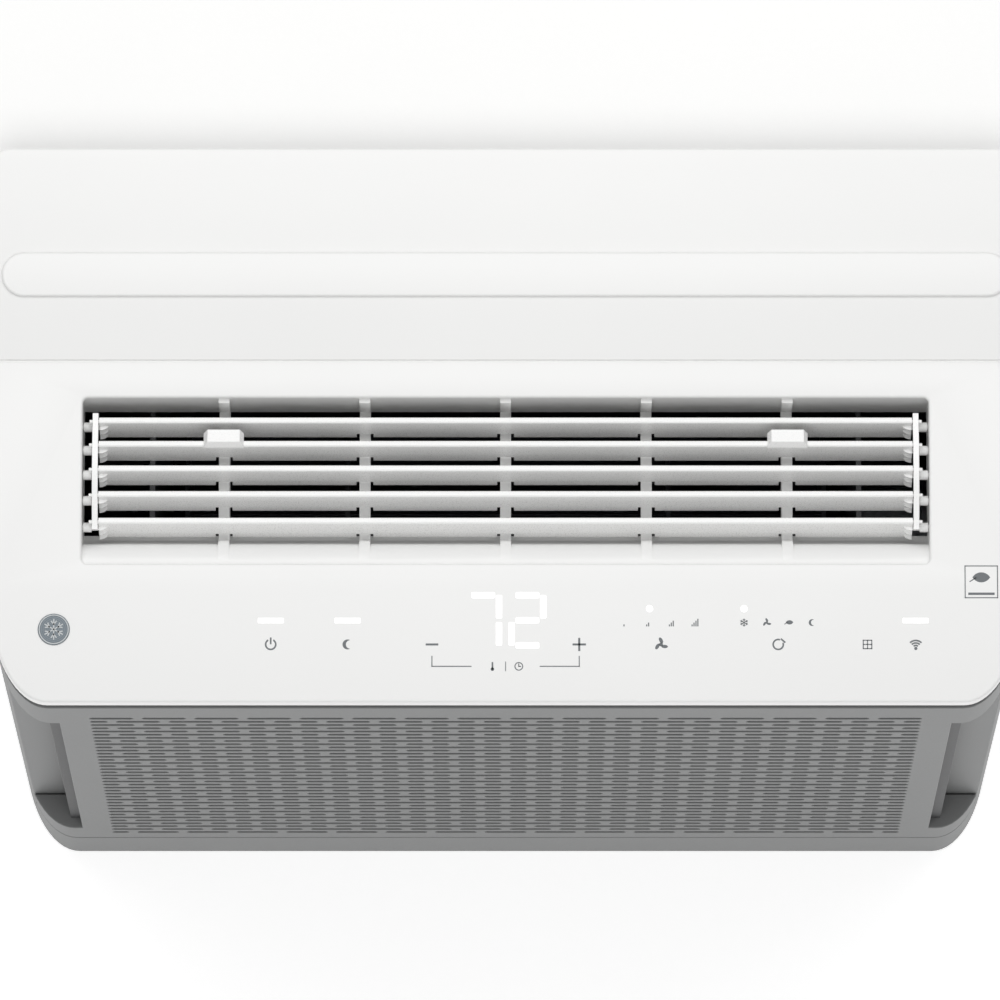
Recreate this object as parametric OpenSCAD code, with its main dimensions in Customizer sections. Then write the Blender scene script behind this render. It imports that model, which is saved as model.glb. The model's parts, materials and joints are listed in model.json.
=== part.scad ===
// Saddle-type window air conditioner.
// The indoor section hangs on the room side of the sill, the outdoor section hangs outside,
// and a low bridge between them passes through the window.
// X is the width, -Y faces the room, +Z is up. The origin is under the middle of the footprint.
// Inside the file a place is given as x, b (depth behind the front face) and h (depth below the
// top of the control panel).

/* [Overall] */
// Width of both sections and the bridge
body_w = 511; // [480:1:560]
// Height of the indoor section
body_h = 418.6; // [400:0.1:480]
// Depth of the indoor section
indoor_d = 281; // [275:1:330]
// Clear width of the channel that straddles the sill and wall
sill_gap = 190; // [150:1:260]
// Depth of the outdoor section
outdoor_d = 250; // [245:1:300]

/* [Indoor casing] */
// Half width of the rounded front corners, seen from above
corner_x = 29.5; // [24:0.5:36]
// Depth of the rounded front corners, seen from above
corner_y = 58; // [40:1:70]
// Radius of the two rear corners
rear_corner = 8; // [5:0.5:12]
// Wall of the moulded casing parts
wall = 3; // [2.4:0.1:3.6]
// Height of the edge of the white top panels
cap_h = 8; // [6:0.5:10]
// Height of the dark reveal under the white top panels
reveal_h = 8; // [6:0.5:10]
// How far the reveal is set in
reveal_in = 4; // [3:0.5:6]
// Depth where the control panel meets the rear cover
seam_b = 172.3; // [168:0.1:182]
// Width of the seam between the two top panels
seam_gap = 0.8; // [0.4:0.1:1.2]
// Height of the base tray, from the floor to the parting groove
tray_h = 40.9; // [34:0.1:48]
// Height of the parting groove
groove_h = 1; // [0.6:0.1:2]

/* [Top details] */
// Place of the badge from the middle
badge_x = -222.8; // [-230:0.1:-200]
// Depth of the badge behind the front face
badge_b = 36.5; // [30:0.1:50]
// Radius of the badge
badge_r = 7.9; // [6:0.1:10]
// Half length of the pad on the rear cover
pad_half = 250.3; // [200:0.1:250.3]
// Depth of the pad behind the front face
pad_b = 204.9; // [196:0.1:230]
// Width of the pad
pad_w = 22.4; // [16:0.1:30]
// Height of the pad above the cover
pad_rise = 2; // [1:0.1:3]

/* [Finger notches] */
// Depth of each corner notch behind the front face
notch_d = 18.6; // [16:0.1:24]
// Top edge of the notches, below the top
notch_top = 55.8; // [50:0.1:70]
// Ledge under the notches, below the top
ledge_h = 349; // [330:0.1:352]
// Half width of the front panel between the notches
panel_half_w = 222; // [216:0.5:226]
// Gap between the panel edge and the wall behind the notch
notch_gap = 7; // [5:0.5:10]

/* [Intake grille] */
// Thickness of the front mouldings
front_t = 3.8; // [3:0.1:5]
// Number of slot rows
slot_rows = 38; // [20:1:38]
// Distance from row to row
slot_pitch = 8.59; // [8:0.01:8.6]
// Height of a slot
slot_h = 4.1; // [3:0.1:5]
// Length of a slot
slot_w = 21.45; // [16:0.05:21.5]
// Web between two slots in a row
slot_web = 4.65; // [4:0.05:6]
// Slots in a full row
slots_across = 16; // [10:1:16]
// Centre of the first row, below the top
first_row = 43.2; // [43:0.1:60]
// Plain border of the grille around the slots
grille_border = 6; // [4:0.5:8]

/* [Outlet] */
// Half width of the outlet opening
outlet_half_w = 209.6; // [205:0.1:215]
// Front edge of the outlet opening
outlet_front = 69.8; // [66:0.1:74]
// Rear edge of the outlet opening
outlet_rear = 153.8; // [150:0.1:160]
// Depth of the rolled lip at the front of the outlet
lip_b = 14.4; // [13.6:0.1:15]
// Drop of the rolled lip
lip_drop = 23; // [20:1:28]
// Depth of the slope that carries on under the rolled lip
throat_in = 21.2; // [18:0.1:22]
// Bottom of the outlet frame, below the top
outlet_floor = 34; // [32:1:40]
// Wall of the outlet frame
outlet_wall = 3.4; // [3:0.1:4]
// Distance between the fixed ribs
rib_pitch = 69.8; // [60:0.1:75]
// Width of a fixed rib
rib_w = 5.4; // [4:0.1:7]

/* [Louvres] */
// Distance between blades
blade_pitch = 12.7; // [12.2:0.1:13.2]
// Depth of the middle blade behind the front face
blade_mid = 118.3; // [116:0.1:120]
// Length of a blade's section, from its top edge to its lower edge
blade_chord = 17; // [15:0.1:17.5]
// Lean of the blades at rest, tops to the rear
blade_lean = 15; // [8:1:18]
// Thickness of a blade at its top edge
blade_t = 3.2; // [2.4:0.1:3.6]
// Thickness of a blade at its lower edge
blade_foot = 1.8; // [1.4:0.1:2.4]
// Half length of a blade
blade_half = 201.5; // [190:0.5:202]
// Drop of the outer blades below the top panel
blade_drop = 6; // [4:0.5:8]
// Rise of the middle blade over the outer ones
blade_crown = 5; // [0:0.5:5]
// Pivot, below the top edge of its blade
pivot_drop = 8; // [7.5:0.1:8.5]
// Radius of the pivot stubs
pivot_r = 1.4; // [1.2:0.1:1.6]
// Link pin, below the top edge of its blade
link_drop = 2; // [1.8:0.1:2.4]
// Radius of the link pins
link_r = 0.9; // [0.7:0.1:1.1]
// Thickness of the tie bars
tie_t = 2.8; // [2:0.1:3.2]
// Depth of the notch in a blade's lower edge at each rib
blade_notch = 4; // [3.5:0.1:5]
// Length of a grip tab
tab_w = 20; // [16:0.5:26]

/* [Filter] */
// Thickness of the filter frame
filter_t = 8; // [6:0.5:9]
// Depth of the filter behind the front face
filter_b = 5.2; // [5:0.1:6]
// Rim of the filter frame
filter_rim = 9; // [7:0.5:12]
// How far the filter ends pass the panel edge
filter_over = 6; // [4:0.5:7]

/* [Evaporator] */
// Front of the fin block
evap_b = 24; // [23:0.5:30]
// Thickness of the fin block
evap_t = 40; // [30:1:44]
// Half length of the fin block
evap_half = 203; // [180:1:206]
// Top of the fin block, below the top
evap_top = 70; // [68:1:90]
// Bottom of the fin block, below the top
evap_bottom = 336; // [300:1:338]
// Radius of the coil tubes
tube_r = 4; // [3:0.5:5]
// Tubes in each row
tubes_per_row = 8; // [4:2:8]

/* [Blower] */
// Axis of the blower wheel behind the front face
blower_b = 142; // [140:0.5:148]
// Axis of the blower wheel below the top
blower_h = 262; // [250:1:266]
// Radius of the blower wheel
blower_r = 50; // [44:0.5:52]
// Half length of the bladed part of the wheel
blower_half = 165; // [150:1:170]
// Blades of the wheel
blower_blades = 32; // [20:2:36]
// Radius of the blower shaft
shaft_r = 5; // [4:0.5:6]

/* [Bridge] */
// Step from the indoor top down to the bridge deck
deck_step = 25; // [20:1:30]
// Underside of the bridge, below the top
bridge_floor = 110; // [100:1:130]
// Thickness of the bridge sheets
sheet_t = 2; // [1.5:0.1:2.5]
// Thickness of the foam strips under the bridge
gasket_t = 6; // [4:0.5:10]

/* [Outdoor section] */
// Thickness of the cabinet sheet
cabinet_t = 2; // [1.5:0.1:2.5]
// Radius of the cabinet's upright corners
cabinet_r = 22; // [16:1:30]
// Height of the rubber feet
foot_h = 10; // [8:0.5:14]
// Radius of the rubber feet
foot_r = 14; // [10:0.5:18]
// Radius of the propeller fan
fan_r = 138; // [120:1:140]
// Blades of the propeller fan
fan_blades = 5; // [3:1:7]
// Thickness of the condenser block
cond_t = 38; // [30:1:40]
// Radius of the compressor shell
compressor_r = 56; // [48:1:58]
// Height of the compressor shell
compressor_h = 225; // [190:1:240]

/* [Mounting holes] */
// Spacing along X of the sill bolts in the bridge
sill_bolt_x = 420; // [380:1:440]
// Spacing along Y of the sill bolts in the bridge
sill_bolt_y = 120; // [80:1:130]
// Radius of the sill bolt holes
sill_hole_r = 2.6; // [2:0.1:4]
// Spacing of the side panel screws in the bridge's side walls
side_bolt_y = 140; // [100:1:140]
// Radius of the side panel screw holes
side_hole_r = 2.1; // [1.6:0.1:3]

/* [Hidden] */
$fn = 48;

white = "#f4f4f2";
grey = "#8b8c8d";
dark = "#2e2f31";
metal = "#b9bcc0";
copper = "#b87346";

running = 0.06;                // radial clearance of a turning pin or shaft
clear = 0.4;                   // gap between parts that move past or drop into each other
eps = 0.5;                     // how far a cutter passes the face that it cuts
total_d = indoor_d + sill_gap + outdoor_d;
half_w = body_w / 2;
corner_n = 16;                 // facets of a front corner
rear_n = 6;                    // facets of a rear corner

casing_top = cap_h + reveal_h; // top edge of the grey casing
casing_floor = body_h - tray_h - groove_h;
slot_wall = panel_half_w + notch_gap;
slot_area_w = slots_across * (slot_w + slot_web) - slot_web;
grille_half = slot_area_w / 2 + grille_border;
grille_top = first_row - slot_h / 2 - grille_border;
grille_bottom = first_row + (slot_rows - 1) * slot_pitch + slot_h / 2 + grille_border;
deck_h = deck_step;
bridge_b0 = indoor_d;
bridge_b1 = indoor_d + sill_gap;
blades = [1, 2, 3, 4, 5];
ribs = [-2, -1, 0, 1, 2];
stub_end = outlet_half_w + outlet_wall - clear;
tie_x = blade_half + clear;
filter_half = panel_half_w + filter_over;
filter_top = notch_top + 1.4;
filter_bottom = ledge_h - 1.4;
coil_step = (evap_bottom - evap_top) / tubes_per_row;
pipe_x = 8 - body_w / 2 + 9.5; // both refrigerant pipes run one above the other beside the left wall
suction_r = 5;
suction_h = 88;                // height of the suction pipe in the bridge, below the top
suction_start = 50;
liquid_r = 3;
liquid_h = 68;
liquid_start = 32;
conduit_x = pipe_x + 38;
conduit_r = 7;
inverter_h = 90;               // top of the inverter box and of the wall beside it

// ---------- helpers ----------

function yb(b) = b - total_d / 2;
function zh(h) = body_h - h;
function bh(points) = [for (p = points) [yb(p[0]), zh(p[1])]];
function arc(cx, cy, rx, ry, a0, a1, n) =
    [for (i = [0:n]) let (a = a0 + (a1 - a0) * i / n) [cx + rx * cos(a), cy + ry * sin(a)]];

// Outline of the indoor section from above: wide elliptical front corners, small rear ones
function plan_points(inset) =
    let (hw = half_w - inset, y0 = yb(0) + inset, y1 = yb(indoor_d) - inset,
         rx = corner_x - inset, ry = corner_y - inset, rr = max(rear_corner - inset, 1))
    concat(
        arc(-hw + rx, y0 + ry, rx, ry, 180, 270, corner_n),
        arc(hw - rx, y0 + ry, rx, ry, 270, 360, corner_n),
        arc(hw - rr, y1 - rr, rr, rr, 0, 90, rear_n),
        arc(-hw + rr, y1 - rr, rr, rr, 90, 180, rear_n));

// Box from x0 to x1, from depth b0 to b1, and from h0 down to h1
module block(x0, x1, b0, b1, h0, h1) {
    translate([x0, yb(b0), zh(h1)])
        cube([x1 - x0, b1 - b0, h1 - h0]);
}

// The indoor outline, from h0 down to h1
module layer(inset, h0, h1) {
    translate([0, 0, zh(h1)])
        linear_extrude(h1 - h0)
            polygon(plan_points(inset));
}

// Carries a profile drawn in Y and Z across the width
module across(x0, x1) {
    translate([x0, 0, 0])
        rotate([90, 0, 90])
            linear_extrude(x1 - x0)
                children();
}

// Round bar along X, Y or Z, from its start at x, b, h
module bar_x(x0, x1, b, h, r) {
    translate([x0, yb(b), zh(h)])
        rotate([0, 90, 0])
            cylinder(h = x1 - x0, r = r);
}

module bar_y(x, b0, b1, h, r) {
    translate([x, yb(b0), zh(h)])
        rotate([-90, 0, 0])
            cylinder(h = b1 - b0, r = r);
}

module bar_z(x, b, h0, h1, r) {
    translate([x, yb(b), zh(h1)])
        cylinder(h = h1 - h0, r = r);
}

// Rounded rectangle on the ground plane
module rounded(x0, x1, y0, y1, r) {
    translate([x0 + r, y0]) square([x1 - x0 - 2 * r, y1 - y0]);
    translate([x0, y0 + r]) square([x1 - x0, y1 - y0 - 2 * r]);
    for (x = [x0 + r, x1 - r], y = [y0 + r, y1 - r])
        translate([x, y]) circle(r);
}

module mirrored() {
    children();
    mirror([1, 0, 0]) children();
}

// ---------- white top ----------

module top_shell(b0, b1) {
    difference() {
        intersection() {
            layer(0, 0, cap_h);
            block(-half_w, half_w, b0, b1, 0, cap_h);
        }
        intersection() {
            layer(wall, wall, cap_h + eps);
            block(-half_w, half_w, b0 + wall, b1 - wall, wall, cap_h + eps);
        }
    }
}

module control_panel() {
    color(white)
        difference() {
            top_shell(0, seam_b - seam_gap / 2);
            block(-outlet_half_w, outlet_half_w, outlet_front, outlet_rear, -eps, cap_h + eps);
        }
}

module rear_cover() {
    color(white)
        top_shell(seam_b + seam_gap / 2, indoor_d);
}

badge_t = 0.5;

module badge() {
    color("#6d7275")
        bar_z(badge_x, badge_b, -badge_t, 0, badge_r);
}

board = [-140, 220, 12, 58];   // display board: left, right, front and rear edge
digits = [-20, 22, 18, 46];    // module of the two digits, seated under the panel
digits_t = 2;
board_t = 1.6;

module display_board() {
    color("#22402c") {
        block(board[0], board[1], board[2], board[3], wall + digits_t, wall + digits_t + board_t);
        block(digits[0], digits[1], digits[2], digits[3], wall, wall + digits_t);
    }
}

module sash_pad() {
    color(white)
        translate([0, 0, zh(0)])
            linear_extrude(pad_rise)
                for (m = [0, 1])
                    mirror([m, 0])
                        translate([0, yb(pad_b)]) {
                            square([pad_half - pad_w / 2, pad_w]);
                            translate([pad_half - pad_w / 2, pad_w / 2]) circle(pad_w / 2);
                        }
}

frame_rim = 9;                 // width of the ring under the top panels
seam_bar = 6;                  // half width of the bar under the seam

module top_frame() {
    color(dark) {
        difference() {
            layer(reveal_in, cap_h, casing_top);
            layer(reveal_in + frame_rim, cap_h - eps, casing_top + eps);
        }
        block(-half_w + reveal_in + 2, half_w - reveal_in - 2,
              seam_b - seam_bar, seam_b + seam_bar, cap_h, casing_top);
    }
}

// ---------- outlet and louvres ----------

function blade_b(i) = blade_mid + (3 - i) * blade_pitch;
function blade_top(i) = blade_drop - blade_crown * (1 - pow((i - 3) / 2, 2));
// A place on the leaning blade, this far along it from its top edge
function along_b(i, along) = blade_b(i) - along * sin(blade_lean);
function along_h(i, along) = blade_top(i) + along * cos(blade_lean);

rib_rear_h = 25;               // where the ribs meet the rear wall, below the top
rib_bite = 1;                  // how far the ribs reach up into the notches of the blades
throat_b = outlet_front + throat_in;
lip_end = 80;                  // how far round the lip rolls, in degrees, before its slope
rib_fin = 2;                   // how far a rib stands off the rear wall and the rolled lip

module rib_profile() {
    polygon(bh(concat(
        [[outlet_front + 1, outlet_floor], [outlet_rear + 1, outlet_floor], [outlet_rear + 1, wall + 1],
         [outlet_rear - rib_fin, wall + 1], [outlet_rear - rib_fin, rib_rear_h]],
        [for (i = blades) [along_b(i, blade_chord), along_h(i, blade_chord) - rib_bite]],
        [for (t = [lip_end:-10:10])
            [outlet_front + (lip_b + rib_fin) * sin(t), wall + lip_drop * (1 - cos(t))]],
        [[outlet_front + 1, wall + 2]])));
}

// Turns a piece drawn upright at a blade's top edge to the lean of the blades
module leaned(i) {
    translate([0, yb(blade_b(i)), zh(blade_top(i))])
        rotate([-blade_lean, 0, 0])
            translate([0, -yb(blade_b(i)), -zh(blade_top(i))])
                children();
}

module outlet_frame() {
    inner_top = wall - eps;
    color(white) {
        difference() {
            block(-outlet_half_w - outlet_wall, outlet_half_w + outlet_wall,
                  outlet_front - outlet_wall, outlet_rear + outlet_wall, wall, outlet_floor);
            across(-outlet_half_w, outlet_half_w)
                polygon(bh(concat(
                    [[outlet_rear, inner_top], [outlet_rear, outlet_floor + eps],
                     [throat_b, outlet_floor + eps]],
                    [for (t = [lip_end:-10:0])
                        [outlet_front + lip_b * sin(t), wall + lip_drop * (1 - cos(t))]],
                    [[outlet_front, inner_top]])));
            for (i = blades)
                bar_x(-stub_end - outlet_wall, stub_end + outlet_wall,
                      along_b(i, pivot_drop), along_h(i, pivot_drop), pivot_r + running);
        }
        intersection() {
            union()
                for (k = ribs)
                    across(k * rib_pitch - rib_w / 2, k * rib_pitch + rib_w / 2)
                        rib_profile();
            block(-outlet_half_w, outlet_half_w, outlet_front - 1, outlet_rear + 1, wall, outlet_floor);
        }
    }
}

// One blade: a plate that thins downwards, notched at the ribs, with link pins near its top
// edge and pivot stubs with a thrust collar at each end
module louvre_blade(i) {
    b = blade_b(i);
    top = blade_top(i);
    color(white) leaned(i) {
        difference() {
            across(-blade_half, blade_half)
                polygon(bh([
                    [b - blade_t / 2, top + 0.6], [b - blade_t / 2 + 0.6, top],
                    [b + blade_t / 2 - 0.6, top], [b + blade_t / 2, top + 0.6],
                    [b + blade_t / 2, top + 4], [b + blade_foot / 2, top + blade_chord],
                    [b - blade_foot / 2, top + blade_chord], [b - blade_t / 2, top + 4]]));
            for (k = ribs)
                block(k * rib_pitch - rib_w / 2 - 1.5, k * rib_pitch + rib_w / 2 + 1.5,
                      b - blade_t, b + blade_t, top + blade_chord - blade_notch, top + blade_chord + 1);
        }
        mirrored() {
            bar_x(blade_half - 1, stub_end, b, top + pivot_drop, pivot_r);
            bar_x(blade_half - 1, tie_x + tie_t + 1.6, b, top + link_drop, link_r);
            bar_x(tie_x + tie_t + clear, outlet_half_w - clear, b, top + pivot_drop, collar_r);
        }
    }
}

module louvre_blade_1() { louvre_blade(1); }
module louvre_blade_2() { louvre_blade(2); }
module louvre_blade_3() { louvre_blade(3); }
module louvre_blade_4() { louvre_blade(4); }
module louvre_blade_5() { louvre_blade(5); }

collar_r = 2.4;                // thrust collars of the blades
tie_half = 1.7;                // half height of a tie bar
tie_end = 4;                   // how far a tie bar passes its outer pins

function tie_b(i) = along_b(i, link_drop);
function tie_h(i) = along_h(i, link_drop);

module tie_bar() {
    color(white)
        difference() {
            across(tie_x, tie_x + tie_t)
                polygon(bh(concat(
                    [[tie_b(1) + tie_end, tie_h(1) - tie_half]],
                    [for (i = blades) [tie_b(i), tie_h(i) - tie_half]],
                    [[tie_b(5) - tie_end, tie_h(5) - tie_half],
                     [tie_b(5) - tie_end, tie_h(5) + tie_half]],
                    [for (i = [5:-1:1]) [tie_b(i), tie_h(i) + tie_half]],
                    [[tie_b(1) + tie_end, tie_h(1) + tie_half]])));
            for (i = blades)
                bar_x(tie_x - 1, tie_x + tie_t + 1, tie_b(i), tie_h(i), link_r + running);
        }
}

module tie_bar_right() { tie_bar(); }
module tie_bar_left() { mirror([1, 0, 0]) tie_bar(); }

tab_rise = 4;
tab_back = 1.5;

// Finger tab seated on the top edge of the second blade, with sloping sides
module grip_tab(side) {
    b = blade_b(2) + tab_back;
    top = blade_top(2);
    color(white)
        leaned(2) difference() {
            translate([side * 2 * rib_pitch, yb(b), zh(top + 1.5)])
                rotate([90, 0, 0])
                    translate([0, 0, -4.2])
                        linear_extrude(8.4)
                            polygon([[-tab_w / 2, 0], [tab_w / 2, 0], [tab_w / 2, 1.5],
                                     [tab_w / 2 - 2, tab_rise + 1.5], [-tab_w / 2 + 2, tab_rise + 1.5],
                                     [-tab_w / 2, 1.5]]);
            block(side * 2 * rib_pitch - tab_w, side * 2 * rib_pitch + tab_w,
                  blade_b(2) - blade_t / 2, blade_b(2) + blade_t / 2, top, top + 5);
            across(side * 2 * rib_pitch - tab_w, side * 2 * rib_pitch + tab_w)
                polygon(bh([[b - 4.2 - eps, top - tab_rise - eps], [b - 2.4, top - tab_rise - eps],
                            [b - 4.2 - eps, top + 0.5]]));
        }
}

module grip_tab_left() { grip_tab(-1); }
module grip_tab_right() { grip_tab(1); }

// ---------- front ----------

// Front moulding: rounded corners above and below the notches, a ledge under each notch,
// and a plain border round the grille
module front_frame() {
    color(grey)
        difference() {
            union() {
                difference() {
                    intersection() {
                        layer(0, casing_top, casing_floor);
                        block(-half_w, half_w, 0, notch_d - clear, casing_top, casing_floor);
                    }
                    layer(front_t, casing_top - eps, casing_floor + eps);
                    mirrored()
                        block(panel_half_w, half_w + 1, -1, notch_d + 1, notch_top, ledge_h);
                }
                mirrored()
                    for (h = [notch_top - wall, ledge_h])
                        intersection() {
                            layer(0, h, h + wall);
                            block(panel_half_w, half_w, 0, notch_d - clear, h, h + wall);
                        }
            }
            block(-grille_half, grille_half, -1, front_t + 1, grille_top, grille_bottom);
        }
}

module slot_row(row) {
    z = zh(first_row + row * slot_pitch + slot_h / 2);
    step = slot_w + slot_web;
    x_first = -slot_area_w / 2;
    if (row % 2 == 0)
        for (k = [0:slots_across - 1])
            translate([x_first + k * step, z]) square([slot_w, slot_h]);
    else {
        short_w = (slot_w - slot_web) / 2;
        for (k = [0:slots_across - 2])
            translate([x_first + short_w + slot_web + k * step, z]) square([slot_w, slot_h]);
        for (x = [x_first, -x_first - short_w])
            translate([x, z]) square([short_w, slot_h]);
    }
}

module intake_grille() {
    color(grey)
        translate([0, yb(front_t), 0])
            rotate([90, 0, 0])
                linear_extrude(front_t)
                    difference() {
                        translate([-grille_half, zh(grille_bottom)])
                            square([2 * grille_half, grille_bottom - grille_top]);
                        for (row = [0:slot_rows - 1])
                            slot_row(row);
                    }
}

cells = [8, 5];                // openings of the filter frame, across and down
cell_rib = 2.5;                // rib between two openings
mesh_b = filter_b + 5;         // front of the net, held in a groove of the frame
mesh_t = 0.8;
mesh_in = 3;                   // how far the net's edge is inside the frame's edge

module net() {
    block(-filter_half + mesh_in, filter_half - mesh_in, mesh_b, mesh_b + mesh_t,
          filter_top + mesh_in, filter_bottom - mesh_in);
}

module filter_frame() {
    cell_w = (2 * (filter_half - filter_rim) - (cells[0] - 1) * cell_rib) / cells[0];
    cell_h = (filter_bottom - filter_top - 2 * filter_rim - (cells[1] - 1) * cell_rib) / cells[1];
    color(dark)
        difference() {
            block(-filter_half, filter_half, filter_b, filter_b + filter_t, filter_top, filter_bottom);
            for (k = [0:cells[0] - 1], m = [0:cells[1] - 1])
                translate([k * (cell_w + cell_rib), 0, -m * (cell_h + cell_rib)])
                    block(-filter_half + filter_rim, -filter_half + filter_rim + cell_w,
                          filter_b - 1, filter_b + filter_t + 1,
                          filter_top + filter_rim, filter_top + filter_rim + cell_h);
            net();
        }
}

module filter_mesh() {
    color("#55585b")
        net();
}

// ---------- indoor casing ----------

rail_t = 3;                    // guide rails over and under the filter
bridge_hole = [pipe_x - 8, conduit_x + conduit_r + 3, liquid_h - 8, suction_h + 14];

module indoor_housing() {
    color(grey)
        difference() {
            union() {
                difference() {
                    intersection() {
                        layer(0, casing_top, casing_floor);
                        block(-half_w, half_w, notch_d, indoor_d, casing_top, casing_floor);
                    }
                    intersection() {
                        layer(wall, casing_top - eps, casing_floor + eps);
                        block(-half_w, half_w, notch_d + wall, indoor_d, casing_top - eps, casing_floor + eps);
                    }
                    block(-slot_wall, slot_wall, notch_d - 1, notch_d + wall + 1,
                          filter_top + 4, filter_bottom - 4);
                }
                for (h = [filter_top - clear - rail_t, filter_bottom + clear])
                    block(-panel_half_w + 1, panel_half_w - 1, front_t + clear, notch_d + 0.1, h, h + rail_t);
            }
            block(bridge_hole[0], bridge_hole[1], indoor_d - wall - 1, indoor_d + 1,
                  bridge_hole[2], bridge_hole[3]);
            bar_y(gland_x, indoor_d - wall - 1, indoor_d + 1, gland_h, gland_r + running);
        }
}

rim_h = 4;                     // rim of the tray that seats inside the casing

module base_tray() {
    color(grey)
        difference() {
            layer(0, casing_floor + groove_h, body_h);
            layer(wall, casing_floor, body_h - wall);
        }
    color(grey)
        intersection() {
            difference() {
                layer(wall + clear, casing_floor - rim_h, casing_floor + groove_h + rim_h);
                layer(2 * wall + clear, casing_floor - rim_h - 1, casing_floor + groove_h + rim_h + 1);
            }
            block(-half_w, half_w, notch_d + wall + clear, indoor_d, casing_floor - rim_h, body_h);
        }
    color(grey)
        difference() {
            layer(wall - 0.1, casing_floor + groove_h, casing_floor + groove_h + rim_h);
            layer(2 * wall + clear, casing_floor, casing_floor + groove_h + rim_h + 1);
        }
}

gland_x = 205;
gland_h = 350;
gland_r = 9;

module cord_gland() {
    color(dark)
        difference() {
            union() {
                bar_y(gland_x, indoor_d - wall - 4, indoor_d, gland_h, gland_r);
                bar_y(gland_x, indoor_d, indoor_d + 4, gland_h, gland_r + 4);
                bar_y(gland_x, indoor_d + 4, indoor_d + 9, gland_h, gland_r - 2);
            }
            bar_y(gland_x, indoor_d - wall - 5, indoor_d + 10, gland_h, 4);
        }
}

// ---------- evaporator and drain ----------

function coil_b(row) = evap_b + evap_t * (row == 0 ? 0.27 : 0.73);
function coil_h(k) = evap_top + coil_step * (k + 0.5);

plate_t = 1.5;                 // coil end plates
pan_rim_h = evap_bottom + 6;   // rim of the drain pan, below the top
pan_d = 19.5;
pan_t = 2.5;

module evaporator_fins() {
    color(metal)
        difference() {
            block(-evap_half, evap_half, evap_b, evap_b + evap_t, evap_top, evap_bottom);
            for (row = [0, 1], k = [0:tubes_per_row - 1])
                bar_x(-evap_half - 1, evap_half + 1, coil_b(row), coil_h(k), tube_r + running);
        }
}

module evaporator_plates() {
    color(metal)
        mirrored()
            difference() {
                block(evap_half, evap_half + plate_t, evap_b + 1, evap_b + evap_t + 6,
                      evap_top - 4, pan_rim_h + pan_d);
                for (row = [0, 1], k = [0:tubes_per_row - 1])
                    bar_x(evap_half - 1, evap_half + plate_t + 1, coil_b(row), coil_h(k), tube_r + running);
            }
}

// A half-round bend that joins two tubes one step apart
module coil_bend(x, b, h, step, dir) {
    translate([x, yb(b), zh(h + step / 2)])
        rotate([0, dir > 0 ? 0 : 180, 0])
            rotate([90, 0, 0])
                rotate([0, 0, -90])
                    rotate_extrude(angle = 180)
                        translate([step / 2, 0])
                            circle(tube_r);
}

module evaporator_tubes() {
    end = evap_half + plate_t + 2;
    color(copper)
        for (row = [0, 1]) {
            for (k = [0:tubes_per_row - 1])
                bar_x(-end, end, coil_b(row), coil_h(k), tube_r);
            for (k = [0:2:tubes_per_row - 2])
                coil_bend(end, coil_b(row), coil_h(k), coil_step, 1);
            for (k = [1:2:tubes_per_row - 3])
                coil_bend(-end, coil_b(row), coil_h(k), coil_step, -1);
        }
}

// Tray under the coil on four legs
module drain_pan() {
    half = evap_half + 24;
    b0 = notch_d + wall + clear;
    b1 = evap_b + evap_t + 22;
    color("#d9d9d6") {
        difference() {
            block(-half, half, b0, b1, pan_rim_h, pan_rim_h + pan_d + pan_t);
            block(-half + pan_t, half - pan_t, b0 + pan_t, b1 - pan_t, pan_rim_h - 1, pan_rim_h + pan_d);
        }
        for (x = [-half + 10, half - 22], b = [b0 + 8, b1 - 20])
            block(x, x + 12, b, b + 12, pan_rim_h + pan_d + pan_t, body_h - wall);
    }
}

// ---------- blower ----------

function around(a, r) = [blower_b + r * cos(a), blower_h - r * sin(a)];

scroll_t = 2.5;
cutoff_h = 185;                // where the duct's front wall turns in to the wheel, below the top
scroll_half = blower_half + 12;
tip_gap = 7;                   // wheel to scroll wall where the scroll starts
scroll_grow = 9;               // how much further out the scroll is where it ends

function scroll_r(a) = blower_r + tip_gap + scroll_grow * (a + 130) / 155;
function scroll_wall(extra) = [for (a = [-130:5:25]) around(a, scroll_r(a) + extra)];

// Curved wall behind the wheel, straight duct walls up to the outlet frame, and end plates
module scroll_case() {
    color("#1d1e20") {
        across(-scroll_half, scroll_half)
            polygon(bh(concat(scroll_wall(0),
                [[outlet_rear, outlet_floor], [outlet_rear + scroll_t, outlet_floor]],
                [for (a = [25:-5:-130]) around(a, scroll_r(a) + scroll_t)])));
        across(-scroll_half, scroll_half)
            polygon(bh([[throat_b - scroll_t, outlet_floor], [throat_b, outlet_floor],
                        [throat_b + 4, cutoff_h], around(148, blower_r + tip_gap),
                        around(150, blower_r + tip_gap + 6), [throat_b + 1, cutoff_h + 3]]));
        mirrored()
            difference() {
                across(scroll_half - scroll_t, scroll_half)
                    polygon(bh([[throat_b - scroll_t, outlet_floor], [outlet_rear + scroll_t, outlet_floor],
                                around(25, scroll_r(25) + scroll_t),
                                around(-30, scroll_r(0) + 10), around(-90, scroll_r(-90) + 14),
                                around(-130, scroll_r(-130) + 12), [throat_b - scroll_t, cutoff_h + 3]]));
                bar_x(scroll_half - scroll_t - 1, scroll_half + 1, blower_b, blower_h, shaft_r + 3);
            }
    }
}

blower_shaft_left = -scroll_half - 16;
blower_shaft_right = scroll_half + 24;

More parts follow.
